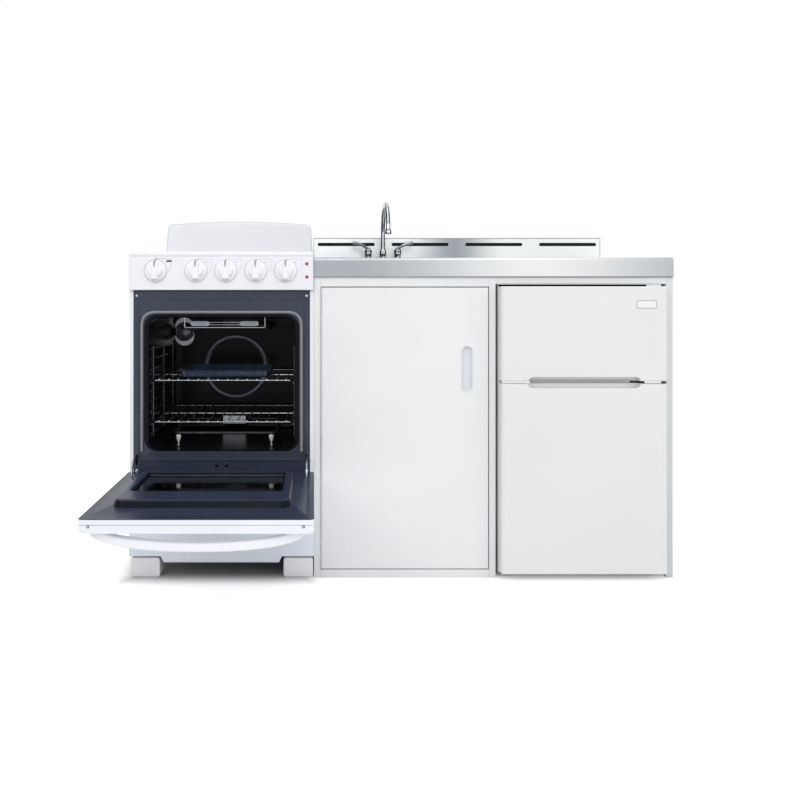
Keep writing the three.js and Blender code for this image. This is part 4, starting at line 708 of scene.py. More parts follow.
seal_path = [(MIDDLE - SEAL_HALF, SEAL_LOW), (MIDDLE - SEAL_HALF, SEAL_TOP),
             (MIDDLE + SEAL_HALF, SEAL_TOP), (MIDDLE + SEAL_HALF, SEAL_LOW)]
dress(tube("seal_tube", bent(upright(seal_path, SEAL_Y), 40), 3.9, 16), seal_braid, "seal",
      "oven_gasket")

# ---- Oven racks
# Chromed wire shelves: two side rails and three cross rails under fourteen long wires, whose
# bent ends are welded on. They slide out on the ribs of the side walls.

RACK_HALF, RACK_NEAR, RACK_FAR = 198.9, 26.6, 421.4
WIRE_NEAR, WIRE_FAR, WIRE_PITCH, WIRES = 25.2, 422.8, 28, 14
WELD_NEAR, WELD_FAR = 24.1, 27

# The racks' chrome is a darker copy of the bright chrome, which is painted shade, and the weld
# beads are near white, which is a painted glint on each wire's bent end.
rack_chrome_shaded = plated("rack_chrome_shaded", "92959B", "44484F", 0.24, 0.6)
weld_glint = coated("weld_glint", "F0F1F3", "E6E8EB", 0.3, relief=0.02, Metallic=0.2)
for name, height in RACK_HEIGHTS.items():
    loop = [(MIDDLE, RACK_NEAR), (MIDDLE - RACK_HALF, RACK_NEAR), (MIDDLE - RACK_HALF, RACK_FAR),
            (MIDDLE + RACK_HALF, RACK_FAR), (MIDDLE + RACK_HALF, RACK_NEAR), (MIDDLE, RACK_NEAR)]
    middle_y = (RACK_NEAR + RACK_FAR) / 2
    cross = [(MIDDLE - RACK_HALF, middle_y), (MIDDLE + RACK_HALF, middle_y)]
    wires = [tube("loop", bent(level(loop, height), 9)[:-1], 2.2, 12, True),
             tube("cross", level(cross, height - 0.4), 2.2, 10)]
    welds = []
    for i in range(WIRES):
        x = MIDDLE + (i - (WIRES - 1) / 2) * WIRE_PITCH
        run = [(x, WIRE_NEAR, height - 0.8), (x, WIRE_NEAR, height + 2.8),
               (x, WIRE_FAR, height + 2.8), (x, WIRE_FAR, height - 0.8)]
        wires.append(tube("wire", bent(run, 2.4, 3), 1.45, 8))
        bead = [(x, WELD_NEAR, height + 1.6), (x, WELD_FAR, height + 2.2)]
        welds.append(tube("weld", bead, 2, 8))
    body = f"{name}_body"
    dress(merged(f"{name}_wires", *wires), rack_chrome_shaded, "chrome", name, body=body)
    dress(merged(f"{name}_welds", *welds), weld_glint, "chrome", body=body)

# ---- Broiler pan
# A shallow pressed pan in the same blue enamel, with sloping walls and a rolled rim, on the
# upper rack.

PAN = (MIDDLE - 141, MIDDLE + 141, 66, 311)
PAN_FLOOR, PAN_RIM = 559.6, 581.4

pan_enamel = speckled("pan_enamel", "263246", "344157", "8590A6", 0.06, Coat_Weight=0.8)
pan = loft("pan_shell", [level(shrunk(PAN, inset, radius, 8), height) for inset, height, radius in (
    (40, PAN_FLOOR + 1.5, 10), (17, PAN_FLOOR, 12), (12, PAN_FLOOR + 3, 15),
    (8.2, PAN_RIM - 3.4, 18), (1.4, PAN_RIM - 3.2, 20), (0, PAN_RIM - 1.6, 21),
    (1.2, PAN_RIM, 20), (7.4, PAN_RIM, 18), (9.2, PAN_RIM - 1.6, 17),
    (13, PAN_FLOOR + 5, 14), (18, PAN_FLOOR + 2.6, 12), (40, PAN_FLOOR + 3, 10))])
dress(pan, pan_enamel, "blue_enamel", "broiler_pan", body="upper_rack_body", crease=60)

# ---- Heaters
# Two bent tubular heaters, sheathed in dark oxidised metal, bolted to the back wall through
# small plates: one over the oven's floor on two ceramic posts and a bracket, the other hung
# under its ceiling from a bent wire with two clips.

HEATERS = {"bake_heater": (395, 150), "broil_heater": (704, 131)}
HEATER_FRONT, HEATER_BACK, SHOULDER, TERMINALS = 92, 450, 403, 39
POST = [(0, 0), (3.4, 0), (3.2, 1), (1.3, 2), (1.3, 7), (3, 9.4), (5.8, 17), (7.4, 23.4), (7.2, 27),
        (5, 29.8), (0, 30.4)]

clip_steel = plated("clip_steel", "8E9299", "4A4E56", 0.34, 0.5)
hanger_steel = plated("hanger_steel", "B8BBC0", "62666E", 0.2, 0.4)
sheath_metal = coated("heater_sheath", "4A4B50", "34353A", 0.34, spread=0.1, patch=40.0,
                      grain=1200.0, relief=0.15, Metallic=0.7)
ceramic = coated("ceramic_post", "E6E4DE", "D8D4CA", 0.5, relief=0.15)
for name, (z, half) in HEATERS.items():
    run = [(-TERMINALS, HEATER_BACK), (-TERMINALS, SHOULDER), (-half, SHOULDER),
           (-half, HEATER_FRONT), (half, HEATER_FRONT), (half, SHOULDER), (TERMINALS, SHOULDER),
           (TERMINALS, HEATER_BACK)]
    sheath = tube("sheath", bent([(MIDDLE + u, y, z) for u, y in run], 22), 4, 14)
    base = plate("base", centred(MIDDLE, z, 43, 13.5, 4), 448.2, 450.2, edge=0.5)
    dress(merged(f"{name}_tube", sheath, base), sheath_metal, "heater_black", name)
posts = [turned("post", POST, MIDDLE + s * 136.4, HEATER_FRONT, 360.5, "up", 20) for s in (-1, 1)]
dress(merged("bake_posts", *posts), ceramic, "heater_black")
hanger = upright([(MIDDLE - 118, 734.6), (MIDDLE - 118, 705), (MIDDLE + 118, 705),
                  (MIDDLE + 118, 734.6)], 86)
dress(tube("broil_hanger", bent(hanger, 5), 2.1, 10), hanger_steel, "chrome")
clips = [plate("clip", rounded(x - 28, x + 28, 709, 724, 7.2), 84, 86.4, edge=1.1, rounds=4)
         for x in (MIDDLE - 72, MIDDLE + 72)]
beads = [plate("bead", rounded(x - 18, x + 18, 713.4, 719.6, 3), 83, 85, edge=0.9)
         for x in (MIDDLE - 72, MIDDLE + 72)]
tie = plate("tie", rounded(MIDDLE - 46, MIDDLE + 46, 712, 721, 2), 86.4, 87.4,
            holes=[rounded(MIDDLE - 43, MIDDLE + 43, 714, 719, 1)], edge=0.3)
dress(merged("broil_clips", tie, *clips, *beads), clip_steel, "chrome")
bracket = merged(
    "heater_bracket",
    plate("bridge", rounded(MIDDLE - 37, MIDDLE + 37, 381, 405, 3), 395.8, 397.2, edge=0.5),
    *[plate("rib", rounded(x - 7, x + 7, 386, 404, 2), 394.4, 396.4, edge=0.7)
      for x in (MIDDLE - 24, MIDDLE, MIDDLE + 24)],
)
dress(bracket, hanger_steel, "chrome")
foot = plate("bracket_foot", rounded(MIDDLE - 37, MIDDLE + 37, 379.6, 384, 1.8), 391, 397,
             edge=0.6)
dress(foot, hanger_steel, "chrome")

# ---- Oven lamp
# A chromed flange on the back wall, held by four screws, with a domed glass cover.

LAMP = (88.6, 446.4, 681)
DOME = [(28.4, 0), (28, 3.6), (25.8, 8.2), (21, 11.6), (12.5, 13.6), (5, 14), (0, 14)]
BULB = [(3.6, 13.2), (3, 14.6), (1.6, 15.2), (0, 15.3)]

lamp_steel = coated("lamp_steel", "D8DBE1", "C8CCD3", 0.42, spread=0.02, relief=0.01,
                    Metallic=0.85)
lamp_glass = coated("lamp_glass", "70737A", "62656C", 0.12, spread=0.02, relief=0.01,
                    Coat_Weight=1.0)
# The bulb's white tip stands out through the front of the dome as a small bright dot: a painted
# highlight.
lamp_bulb_glint = coated("lamp_bulb_glint", "E8EAED", "DDE0E4", 0.3, relief=0.02)
x, y, z = LAMP
flange = plate("lamp_plate", centred(x, z, 32.6, 48, 32, 12), y, y + 4, edge=1.4)
collar = turned("lamp_collar", [(32, 3), (31.2, 5), (29.6, 6), (28.4, 5), (28, 0)], *LAMP, "front",
                64)
dress(collar, hanger_steel, "chrome")
screws = [turned("screw", [(3, 0), (2.8, 1.2), (1.5, 1.8), (0, 1.9)], u, y, v, "front", 20)
          for u in (x - 17, x + 17) for v in (z - 38, z + 38)]
dress(merged("lamp_flange", flange, *screws), lamp_steel, "chrome", "oven_lamp")
dress(turned("lamp_dome", DOME, *LAMP, "front", 64), lamp_glass, "glass")
ribs = [tube("dome_rib", upright(ring_of(radius, x, z), y - deep), 0.7, 6, True)
        for radius, deep in ((26.6, 7), (20, 12), (12, 13.6))]
dress(merged("lamp_rings", *ribs), lamp_steel, "glass")
dress(turned("lamp_bulb_glint", BULB, x + 3, y, z, "front", 24), lamp_bulb_glint, "glass")

# ---- Oven door
# A white enamelled outer pan, hinged at its lower edge and drawn open. The dark liner inside
# steps up to a plateau that carries the inner pane and fits into the oven's mouth.

DOOR = (0.3, RANGE_WIDTH - 0.3, -537.5, -11.5)
PAN_BOX = (DOOR[0], DOOR[1], DOOR[2] + 3, DOOR[3])
BAND_LEFT, BAND_RIGHT = DOOR[0] + 0.3, DOOR[1] - 0.3
DOOR_LOW, DOOR_RIM, DOOR_FLANGE = 269, 299.5, 301
PLATEAU_TOP, PANE_LEVEL = 321, 310
WINDOW = (MIDDLE - 181, MIDDLE + 181, -337.5, -113.5)
PLATEAU = (MIDDLE - 207, MIDDLE + 207, -445.5, -92)
DOOR_BODY = "oven_door_body"

door_enamel = coated("door_enamel", "EBEDF2", "E4E7ED", 0.2, grain=300.0, relief=0.04,
                     Coat_Weight=0.4)
flange_enamel = speckled("flange_enamel", "272D3D", "323A4D", "6A728A", 0.2,
                         Specular_IOR_Level=0.06)
# The liner's colour turns nearly black where its faces stand steep, as on the plateau's walls:
# painted shade.
tree = flange_enamel.node_tree
base_colour = tree.nodes["Principled BSDF"].inputs["Base Color"]
lie = node(tree, "SeparateXYZ", {0: node(tree, "TexCoord").outputs["Normal"]}).outputs[2]
steep_wall_shade = blend(tree, ramp(tree, lie, 0.6, 0.97), colour("11151F"), base_colour.links[0].from_socket)
tree.links.new(steep_wall_shade, base_colour)
edge_black = coated("edge_black", "15161A", "1D1F24", 0.3, relief=0.05)
screw_grey = coated("screw_grey", "7C7F84", "6A6D72", 0.4, patch=60.0, relief=0.05, Metallic=0.4)

pan_loop = rounded(*PAN_BOX, 7, 8)
outer = merged(
    "door_pan",
    plate("pan_floor", pan_loop, DOOR_LOW, DOOR_LOW + 9, "flat", [rounded(*WINDOW, 6)], edge=2.6,
          rounds=4),
    plate("pan_wall", pan_loop, DOOR_LOW + 5, DOOR_RIM, "flat", [shrunk(PAN_BOX, 3, 5, 8)],
          edge=0.5),
)
dress(outer, door_enamel, "white_enamel", "door_outer", body=DOOR_BODY)
low_loop = [*arc(BAND_LEFT + 12, 281, 12, 180, 270, 8), *arc(BAND_RIGHT - 12, 281, 12, -90, 0, 8),
            (BAND_RIGHT, 287.4), (BAND_LEFT, 287.4)]
band = [plate("band", loop, -537.4, -534, edge=1.2, rounds=4)
        for loop in (low_loop, rounded(BAND_LEFT, BAND_RIGHT, 288.2, 300.4, 1.4))]
dress(merged("door_band", *band), door_enamel, "white_enamel", body=DOOR_BODY)
door_screws = [turned("screw", [(3.8, -1), (3.8, 0.02), (1.2, 0.04), (1.2, -0.4), (0, -0.4)],
                      x, -537.44, 285, "front", 24) for x in (24, RANGE_WIDTH - 24)]
dress(merged("door_screws", *door_screws), screw_grey, "chrome", body=DOOR_BODY)


def door_rings(box, *rows):
    """Rings on the door, each from its inset, height, corner radius and slope at the near end."""
    x0, x1, y0, y1 = box
    return [level(shrunk((x0, x1, y0 + slope, y1), inset, radius, 8), height)
            for inset, height, radius, slope in rows]


liner = loft("door_liner", [
    *door_rings(WINDOW, (0, PANE_LEVEL, 8, 0)),
    *door_rings(DOOR, (8, DOOR_RIM + 0.1, 7, 0), (0.2, DOOR_RIM + 0.1, 9, 0),
                (0, DOOR_FLANGE - 0.6, 9, 0), (0.6, DOOR_FLANGE, 8.6, 0)),
    *door_rings(PLATEAU, (-5, DOOR_FLANGE, 30, 0), (-3, DOOR_FLANGE + 0.6, 28, 0),
                (-1.6, DOOR_FLANGE + 2.4, 27, 0), (1.2, PLATEAU_TOP - 5, 26, 3),
                (2.4, PLATEAU_TOP - 2, 25, 5), (4.4, PLATEAU_TOP - 0.5, 24, 7),
                (7, PLATEAU_TOP, 22, 9)),
    *door_rings(WINDOW, (-8, PLATEAU_TOP, 14, 0), (-4, PLATEAU_TOP - 1, 11, 0),
                (-1, PLATEAU_TOP - 6, 9, 0), (0, PANE_LEVEL, 8, 0)),
], caps=False)
dress(liner, flange_enamel, "blue_enamel", "door_inner", body=DOOR_BODY, crease=45)
trims = [tube("trim", bent([(x, -528, 300.6), (x, -14, 300.6)], 1), 1.1, 8)
         for x in (DOOR[0] + 1.6, DOOR[1] - 1.6)]
dress(merged("door_side_trim", *trims), edge_black, "blue_enamel", body=DOOR_BODY)

# ---- Door glass
# Two tempered panes with an air gap, clamped in a dark frame: the clear inner one lies in the
# plateau's opening, the dark tinted outer one behind the pan's.

PANE = (WINDOW[0] + 0.5, WINDOW[1] - 0.5, WINDOW[2] + 0.5, WINDOW[3] - 0.5)


def glass_material(name, tint, gloss):
    """Clear tempered glass that shows what is behind it, with its own tint."""
    return coated(name, tint, tint, gloss, spread=0.01, relief=0.01, Transmission_Weight=1.0,
                  IOR=1.46)


inner_glass = glass_material("inner_glass", "C4CCD4", 0.02)
outer_glass = coated("outer_glass", "0E1014", "16181D", 0.04, spread=0.02, relief=0.01,
                     Coat_Weight=1.0)
frame_black = coated("frame_black", "121317", "1A1C20", 0.35, relief=0.08)
inner_pane = plate("inner_pane", rounded(*PANE, 6), 308.6, 312.4, "flat", edge=0.4)
dress(inner_pane, inner_glass, "glass", "door_glass", body=DOOR_BODY)
outer_pane = plate("outer_pane", rounded(*PANE, 5), 269.3, 273.3, "flat", edge=0.4)
dress(outer_pane, outer_glass, "glass", body=DOOR_BODY)
spacer = plate("pane_frame", rounded(*PANE, 6), 273.5, 308.4, "flat", [shrunk(PANE, 6, 5)],
               edge=0.4)
dress(spacer, frame_black, "glass", body=DOOR_BODY)

# ---- Door handle
# One bar moulded in white, bowed down from the door's lower corners and screwed to the pan.

HANDLE_NEAR, HANDLE_FAR, BOW_STEPS = -517.5, -493.5, 72
BOW_HALF, BOW_DEEP, BOW_HOLLOW = MIDDLE - 20, 46.4, 27

handle_white = coated("handle_white", "F1F2F6", "EBEDF2", 0.18, grain=900.0, relief=0.03,
                      Coat_Weight=0.3)


def bow_drop(from_middle, deep, half, fullness):
    """How far below the door the bow hangs: a full ellipse, like the real bar's two edges."""
    return deep * max(0, 1 - (abs(from_middle) / half) ** fullness) ** (1 / fullness)


bow = []
for i in range(BOW_STEPS + 1):
    x = MIDDLE - BOW_HALF * math.cos(math.pi * i / BOW_STEPS)
    low = DOOR_LOW - 0.4 - bow_drop(x - MIDDLE, BOW_DEEP, BOW_HALF, 2.2)
    high = DOOR_LOW - 0.1 - bow_drop(x - MIDDLE, BOW_HOLLOW, BOW_HALF - 32, 1.7)
    soft = min(5, (high - low) / 2.1)
    bow.append([(x, u, v) for u, v in rounded(HANDLE_NEAR, HANDLE_FAR, low, high, soft, 4)])
dress(loft("handle_bow", bow), handle_white, "white_plastic", "door_handle", body=DOOR_BODY,
      crease=50)

# ---- Door hinge arms
# Flat chromed steel arms, riveted to the door and curved round its pivot. They slide through
# slots in the oven's front to their springs.

PIVOT, ARM_OUTER, ARM_INNER, ARM_REACH = (-21.5, 293), 52, 42, 8

for side, left in zip(("left", "right"), ARM_LEFTS):
    ends = [180 - math.degrees(math.asin(ARM_REACH / radius)) for radius in (ARM_OUTER, ARM_INNER)]
    outline = arc(*PIVOT, ARM_OUTER, 50, ends[0], 24) + arc(*PIVOT, ARM_INNER, ends[1], 50, 24)
    arm = plate(f"arm_{side}_bar", outline, left, left + 4, "side", edge=0.8)
    dress(arm, rack_chrome_shaded, "chrome", f"door_hinge_{side}", body=DOOR_BODY)

# ---- Sink cabinet
# A sink base of folded, white painted steel: a carcass behind, and in front a face frame of
# two stiles and rails that also runs over the bay beside it, where an end panel closes it.

CABINET_LEFT, UNIT_RIGHT, CABINET_TOP = 522, 1538, 850

satin_white = coated("satin_white", "E8E9EA", "E2E3E5", 0.36, patch=3.0, grain=500.0, relief=0.06)
panel_white = coated("end_panel_white", "DADCDE", "CDD0D3", 0.36, patch=2.0, grain=500.0,
                     relief=0.06)
joint_grey = coated("joint_grey", "A9ACB0", "9DA0A5", 0.5, relief=0.05)
dress(eased("cabinet_shell", "cabinet_carcass", 0.7), satin_white, "white_steel",
      "cabinet_carcass")
dress(eased("end_panel_sheet", "end_panel", 1.2, 3), panel_white, "white_steel", "end_panel")
dress(eased("frame_members", "face_frame", 0.7), satin_white, "white_steel", "face_frame")
seams = [plate("seam", rounded(x - 0.35, x + 0.35, low, high, 0.3), -0.12, 0.4, edge=0.05)
         for x in (541.2, 1017.8) for low, high in ((1, 21.6), (823.4, 849))]
dress(merged("frame_seams", *seams), joint_grey, "white_steel")

# ---- Cabinet door
# One folded steel pan set into the face frame, hung on a long hinge at its left and opened by
# a recessed finger pull near its right edge.

CABINET_DOOR = (543.5, 1015.5, 24.5, 820.5)
PULL = (938, 973, 523, 657)
KNUCKLES, KNUCKLE_PITCH = 15, 53.1

door_white = coated("door_white", "E9EAEC", "E3E5E7", 0.34, patch=2.5, grain=500.0, relief=0.06)
pull_white = coated("pull_white", "E4E6E9", "DCDEE2", 0.3, grain=1200.0, relief=0.06)
barrel_steel = coated("hinge_steel", "BFC2C6", "A6AAAF", 0.35, patch=60.0, relief=0.1, Metallic=0.7)


def pull_loop(inset):
    """An outline of the pull with round ends."""
    return shrunk(PULL, inset, (PULL[1] - PULL[0]) / 2 - inset - 0.1, 10)


door_loop = rounded(*CABINET_DOOR, 2)
door_pan = merged(
    "door_panel",
    plate("panel_face", door_loop, 0, 5, holes=[pull_loop(2.6)], edge=1.6, rounds=4),
    plate("panel_fold", door_loop, 3, 18, holes=[shrunk(CABINET_DOOR, 1.6, 1)], edge=0.4),
)
dress(door_pan, door_white, "white_steel", "cabinet_door", body="cabinet_door_body")
cup = loft("pull_cup_shell", [upright(pull_loop(inset), depth) for inset, depth in (
    (2.4, 0.1), (0.2, -0.1), (0, -0.5), (0.7, -1), (1.8, -1), (3, -0.4), (3.8, 1.2), (4.4, 6),
    (5.8, 10.4), (8.4, 11.8), (8.4, 13), (5, 12.4), (3.1, 10), (2.9, 2))], caps=False)
recess = merged("pull_recess", cup, plate("cup_floor", pull_loop(8), 11.8, 13, edge=0.3))
dress(recess, pull_white, "white_plastic", "pull_cup", body="cabinet_door_body", crease=50)
knuckles = [turned("knuckle", [(0, 0), (1.5, 0), (1.8, 0.6), (1.8, 51.4), (1.5, 52), (0, 52)],
                   542.2, -1.5, CABINET_DOOR[2] + 1.5 + i * KNUCKLE_PITCH, "up", 16)
            for i in range(KNUCKLES)]
leaf = plate("leaf", [(541.1, -1), (541.9, -1), (541.9, 16), (541.1, 16)], *CABINET_DOOR[2:],
             "flat", edge=0.2)
dress(merged("long_hinge", leaf, *knuckles), barrel_steel, "grey_steel", "cabinet_hinge")

# ---- Worktop
# One sheet of fine brushed stainless steel, folded down all round. Its long front fold has a
# soft nose, and the sink is welded under its opening.

TOP, TOP_FRONT, TOP_BACK, FOLD_LOW = 905, -5.5, 629.5, CABINET_TOP + 0.2
TOP_LEFT, TOP_RIGHT = CABINET_LEFT + 0.2, UNIT_RIGHT - 0.2
SINK = (563, 963, 150, 490)
ALONG = (0.04, 1, 1)  # the place's stretch for lines that run along the unit


def brushed_group():
    """Fine lines drawn along one direction, with slow patches of tone and gloss, and a painted
    reflection: a soft band of another colour across the unit.
    """
    tree, given, way_out = open_group("brushed_lines", Stretch=VECTOR, Fineness=NUMBER,
                                      Spread=NUMBER, Band=TINT, Middle=NUMBER, Reach=NUMBER)
    drawn = maths(tree, "MULTIPLY", given["Place"], given["Stretch"], kind="VectorMath")
    lines = noise(tree, drawn, given["Fineness"], 3.0)
    mixed = maths(tree, "MULTIPLY_ADD", lines, 0.5, noise(tree, given["Place"], 3.0))
    share = ramp(tree, mixed, 0.5, 1.0)
    tone = blend(tree, share, given["Colour"], given["Shade"])
    along = node(tree, "SeparateXYZ", {0: given["Place"]}).outputs[0]
    far = maths(tree, "ABSOLUTE", maths(tree, "SUBTRACT", along, given["Middle"]))
    band = ramp(tree, far, 0.0, given["Reach"], 1.0, 0.0, "SMOOTHSTEP")
    gloss = maths(tree, "MULTIPLY_ADD", share, given["Spread"], given["Gloss"])
    return close_group(tree, way_out, blend(tree, band, tone, given["Band"]), gloss, lines)


BRUSHED = brushed_group()


def brushed(name, tint, shade, gloss, stretch, fineness=260.0, band=None):
    """Brushed steel. A band of painted reflection gives its colour, middle and reach, in metres
    along the unit.
    """
    reflection_tint, middle, reach = band or (tint, 0.0, 0.1)
    return surfaced(name, BRUSHED, tint, shade, gloss, 0.12, {"Metallic": 1.0}, Stretch=stretch,
                    Fineness=fineness, Spread=0.12, Band=colour(reflection_tint), Middle=middle,
                    Reach=reach)


def nose(inset):
    """Section of the front fold from its inside foot over the nose to the flat top."""
    front, top = TOP_FRONT + inset, TOP - inset
    return [(front, FOLD_LOW), *arc(front + 8 - inset, top - 8 + inset, 8 - inset, 180, 90, 8)]


# The pale band across the worktop, along the unit, is a painted reflection.
top_steel = brushed("worktop_steel", "A4AAAE", "93999D", 0.26, ALONG, band=("DCDDDE", 0.4, 0.56))
worktop = merged(
    "worktop_sheet",
    plate("front_fold", nose(0) + [(3, TOP - 2)] + nose(2)[::-1], TOP_LEFT, TOP_RIGHT, "side",
          edge=0.3),
    plate("top_sheet", rounded(TOP_LEFT, TOP_RIGHT, 2.4, TOP_BACK - 0.2, 0.3), TOP - 2, TOP, "flat",
          [rounded(*SINK, 60, 12)], edge=0.3),
    *[plate("end_fold", rounded(0, TOP_BACK - 0.4, FOLD_LOW, TOP - 0.3, 0.4), x, x + 2, "side",
            edge=0.3) for x in (TOP_LEFT, TOP_RIGHT - 2)],
    plate("back_fold", rounded(CABINET_LEFT + 1, UNIT_RIGHT - 1, FOLD_LOW, TOP - 0.3, 0.4),
          TOP_BACK - 2.2, TOP_BACK - 0.2, edge=0.3),
)
dress(worktop, top_steel, "stainless", "worktop", crease=40)

# ---- Sink
# A deep drawn bowl with wide corner radii, polished a little finer than the top, with a
# basket strainer at its middle.

DRAIN, CORNER_STEPS = (763, 320, 753), 12
RING_POINTS = 4 * (CORNER_STEPS + 1)
INSIDE = ((0.2, 902.9, 60), (0.3, 880, 59), (3, 780, 57), (8, 764, 52), (18, 756, 44),
          (34, 753.4, 34))
DRAIN_RINGS = ((60, 753.1), (45.2, 752.6), (45.2, 751.5))
OUTSIDE = ((34, 751.9, 34), (16, 754.4, 45), (6, 763, 53), (1.4, 780, 58), (-1.3, 880, 61),
           (-1.4, 901.4, 61), (-12, 901.4, 66), (-12, 902.9, 66), (0.2, 902.9, 60))
CUP = [(0, -38), (20.5, -38), (20.5, -79.8), (22.5, -79.8), (22.5, -40), (44, -32), (44.4, 0.1),
       (51.6, 0.2), (52, 1.2), (50.6, 2), (44.6, 2), (43, 0.6), (42.4, -29), (0, -36)]
BASKET = [(0, -26), (34, -26), (38, -20), (41, -1), (42, -1), (39, -22), (35, -28), (0, -28)]
STEM = [(0, -26), (4, -26), (4, -10), (9, -6), (9, -3), (6, -1), (0, -0.6)]

bowl_steel = brushed("bowl_steel", "C6CACD", "AEB3B8", 0.22, (1, 1, 0.1), 180.0)


def sink_rings(rows):
    return [level(shrunk(SINK, inset, radius, CORNER_STEPS), height)
            for inset, height, radius in rows]


# Round rings with as many points as the bowl's other rings, from the same side on.
last = 270 - 360 / RING_POINTS
drain = [level(arc(*DRAIN[:2], radius, -90, last, RING_POINTS - 1), height)
         for radius, height in DRAIN_RINGS]
bowl = loft("sink_bowl_shell", sink_rings(INSIDE) + drain + sink_rings(OUTSIDE), caps=False)
dress(bowl, bowl_steel, "stainless", "sink_bowl", crease=50)
strainer = [turned("strainer_part", side, *DRAIN, "up", steps)
            for side, steps in ((CUP, 64), (BASKET, 64), (STEM, 32))]
dress(merged("strainer", *strainer), chrome, "chrome", "sink_strainer", crease=45)

# ---- Splashback
# A folded stainless box along the worktop's back, with four long vent slots punched through
# its face and a dark duct behind them.

SPLASH_LOW, SPLASH_TOP, SPLASH_FRONT = TOP + 0.2, 1007, 605.5
SLOT_MIDDLE, SLOT_PITCH, SLOT_Z = 1030, 261.5, 984
HEM = (CABINET_LEFT + 0.1, UNIT_RIGHT - 0.1, TOP + 0.3, SPLASH_TOP + 0.1)

# The grey band across the splashback's face is a painted reflection.
splash_steel = brushed("splash_steel", "E2E4E4", "DADCDC", 0.32, ALONG,
                       band=("93989C", 0.25, 0.19))
hem_shade_steel = brushed("hem_shade_steel", "8E9498", "7E8488", 0.34, ALONG)
duct_black = coated("duct_black", "08090A", "0E0F11", 0.8, relief=0.05)
slots = [centred(SLOT_MIDDLE + (i - 1.5) * SLOT_PITCH, SLOT_Z, 101, 5.7, 5.6) for i in range(4)]
splash = merged(
    "splash_box",
    plate("splash_face", rounded(TOP_LEFT, TOP_RIGHT, SPLASH_LOW, SPLASH_TOP, 1.5), SPLASH_FRONT,
          SPLASH_FRONT + 1.6, holes=slots, edge=0.5),
    plate("splash_top", rounded(TOP_LEFT, TOP_RIGHT, SPLASH_FRONT + 0.6, 629.4, 0.5),
          SPLASH_TOP - 1.5, SPLASH_TOP, "flat", edge=0.5),
    plate("splash_back", rounded(TOP_LEFT, TOP_RIGHT, SPLASH_LOW, SPLASH_TOP - 1, 1), 628, 629.4,
          edge=0.4),
    *[plate("splash_end", rounded(SPLASH_FRONT + 0.4, 629, SPLASH_LOW, SPLASH_TOP - 0.4, 1), x,
            x + 1.5, "side", edge=0.4) for x in (TOP_LEFT, TOP_RIGHT - 1.5)],
)
dress(splash, splash_steel, "stainless", "splashback")
# The dark steel hems round the splashback's face and along the foot of the worktop's front fold are
# painted shade lines at those edges.
hem_hole = rounded(HEM[0] + 2, HEM[1] - 2, HEM[2] + 0.5, HEM[3] - 2.8, 1)
hem = plate("splash_hem", rounded(*HEM, 1.6), SPLASH_FRONT - 0.3, SPLASH_FRONT + 0.5,
            holes=[hem_hole], edge=0.2)
fold = plate("apron_hem", rounded(CABINET_LEFT + 0.3, UNIT_RIGHT - 0.3, CABINET_TOP - 0.1,
                                  CABINET_TOP + 2.2, 0.8), TOP_FRONT - 0.2, TOP_FRONT + 1, edge=0.2)
dress(merged("edge_shade_hems", hem, fold), hem_shade_steel, "stainless")
duct = plate("vent_duct", rounded(CABINET_LEFT + 12, UNIT_RIGHT - 12, SLOT_Z - 14, SLOT_Z + 14, 3),
             SPLASH_FRONT + 9, SPLASH_FRONT + 11, edge=0.4)
dress(duct, duct_black, "stainless")

# ---- Tap
# A chromed two-handle mixer: a deck plate with three bell-shaped columns, a swivelling
# gooseneck on the middle one and a curved lever on each outer one.

TAP_X, TAP_Y, TAP_PITCH = 763, 552, 51
DECK_TOP, COLUMN_TOP = 911, 951
SPOUT_BEND, SPOUT_REACH, MOUTH_HEIGHT = 1005, 206, 1000
DECK = ((0.4, 905.1), (0, 905.6), (0, 908.6), (1, 910), (3, 910.9), (14, 911))
BELL = [(0, -2), (15, -2), (15, 3), (14.8, 5), (13.6, 8), (12, 14), (11, 22), (11.2, 29),
        (12.6, 35), (13, 38), (12.6, 39.8), (0, 40)]
SWIVEL = [(0, 0.4), (11, 0.4), (11.4, 1.2), (11.4, 8.6), (10.6, 10.2), (8.6, 12), (7.8, 15),
          (0, 15)]
AERATOR = [(0, 1.2), (7.6, 1.2), (8.6, 0.2), (10.4, 0), (11, 0.8), (10.9, 8), (10.2, 11), (8.8, 14),
           (7.8, 18), (0, 18)]
LEVER_LENGTH, LEVER_STEPS, LEVER_LEAN, TIP_START = 55, 16, 0.35, 0.86
HUB = [(0, 0.4), (12.6, 0.4), (13, 1.2), (13, 9), (12.2, 10.6), (8.6, 12.4), (6.8, 14.6),
       (6.4, 17.6), (4.6, 19), (0, 19.1)]

tap_chrome = plated("tap_chrome", "BDC1C5", "181A1E", 0.06, 1.0)
# The levers' chrome is a darker copy of the tap's chrome: painted shade.
lever_chrome_shaded = plated("lever_chrome_shaded", "8B8F94", "101215", 0.06, 1.0)
deck = loft("deck_plate", [
    level(centred(TAP_X, TAP_Y, 76 - inset, 25 - inset, 23.8 - inset * 0.9, 12), height)
    for inset, height in DECK])
columns = [turned("column", BELL, x, TAP_Y, DECK_TOP)
           for x in (TAP_X - TAP_PITCH, TAP_X, TAP_X + TAP_PITCH)]
dress(merged("tap_deck", deck, *columns), tap_chrome, "chrome", "tap_body", crease=50)

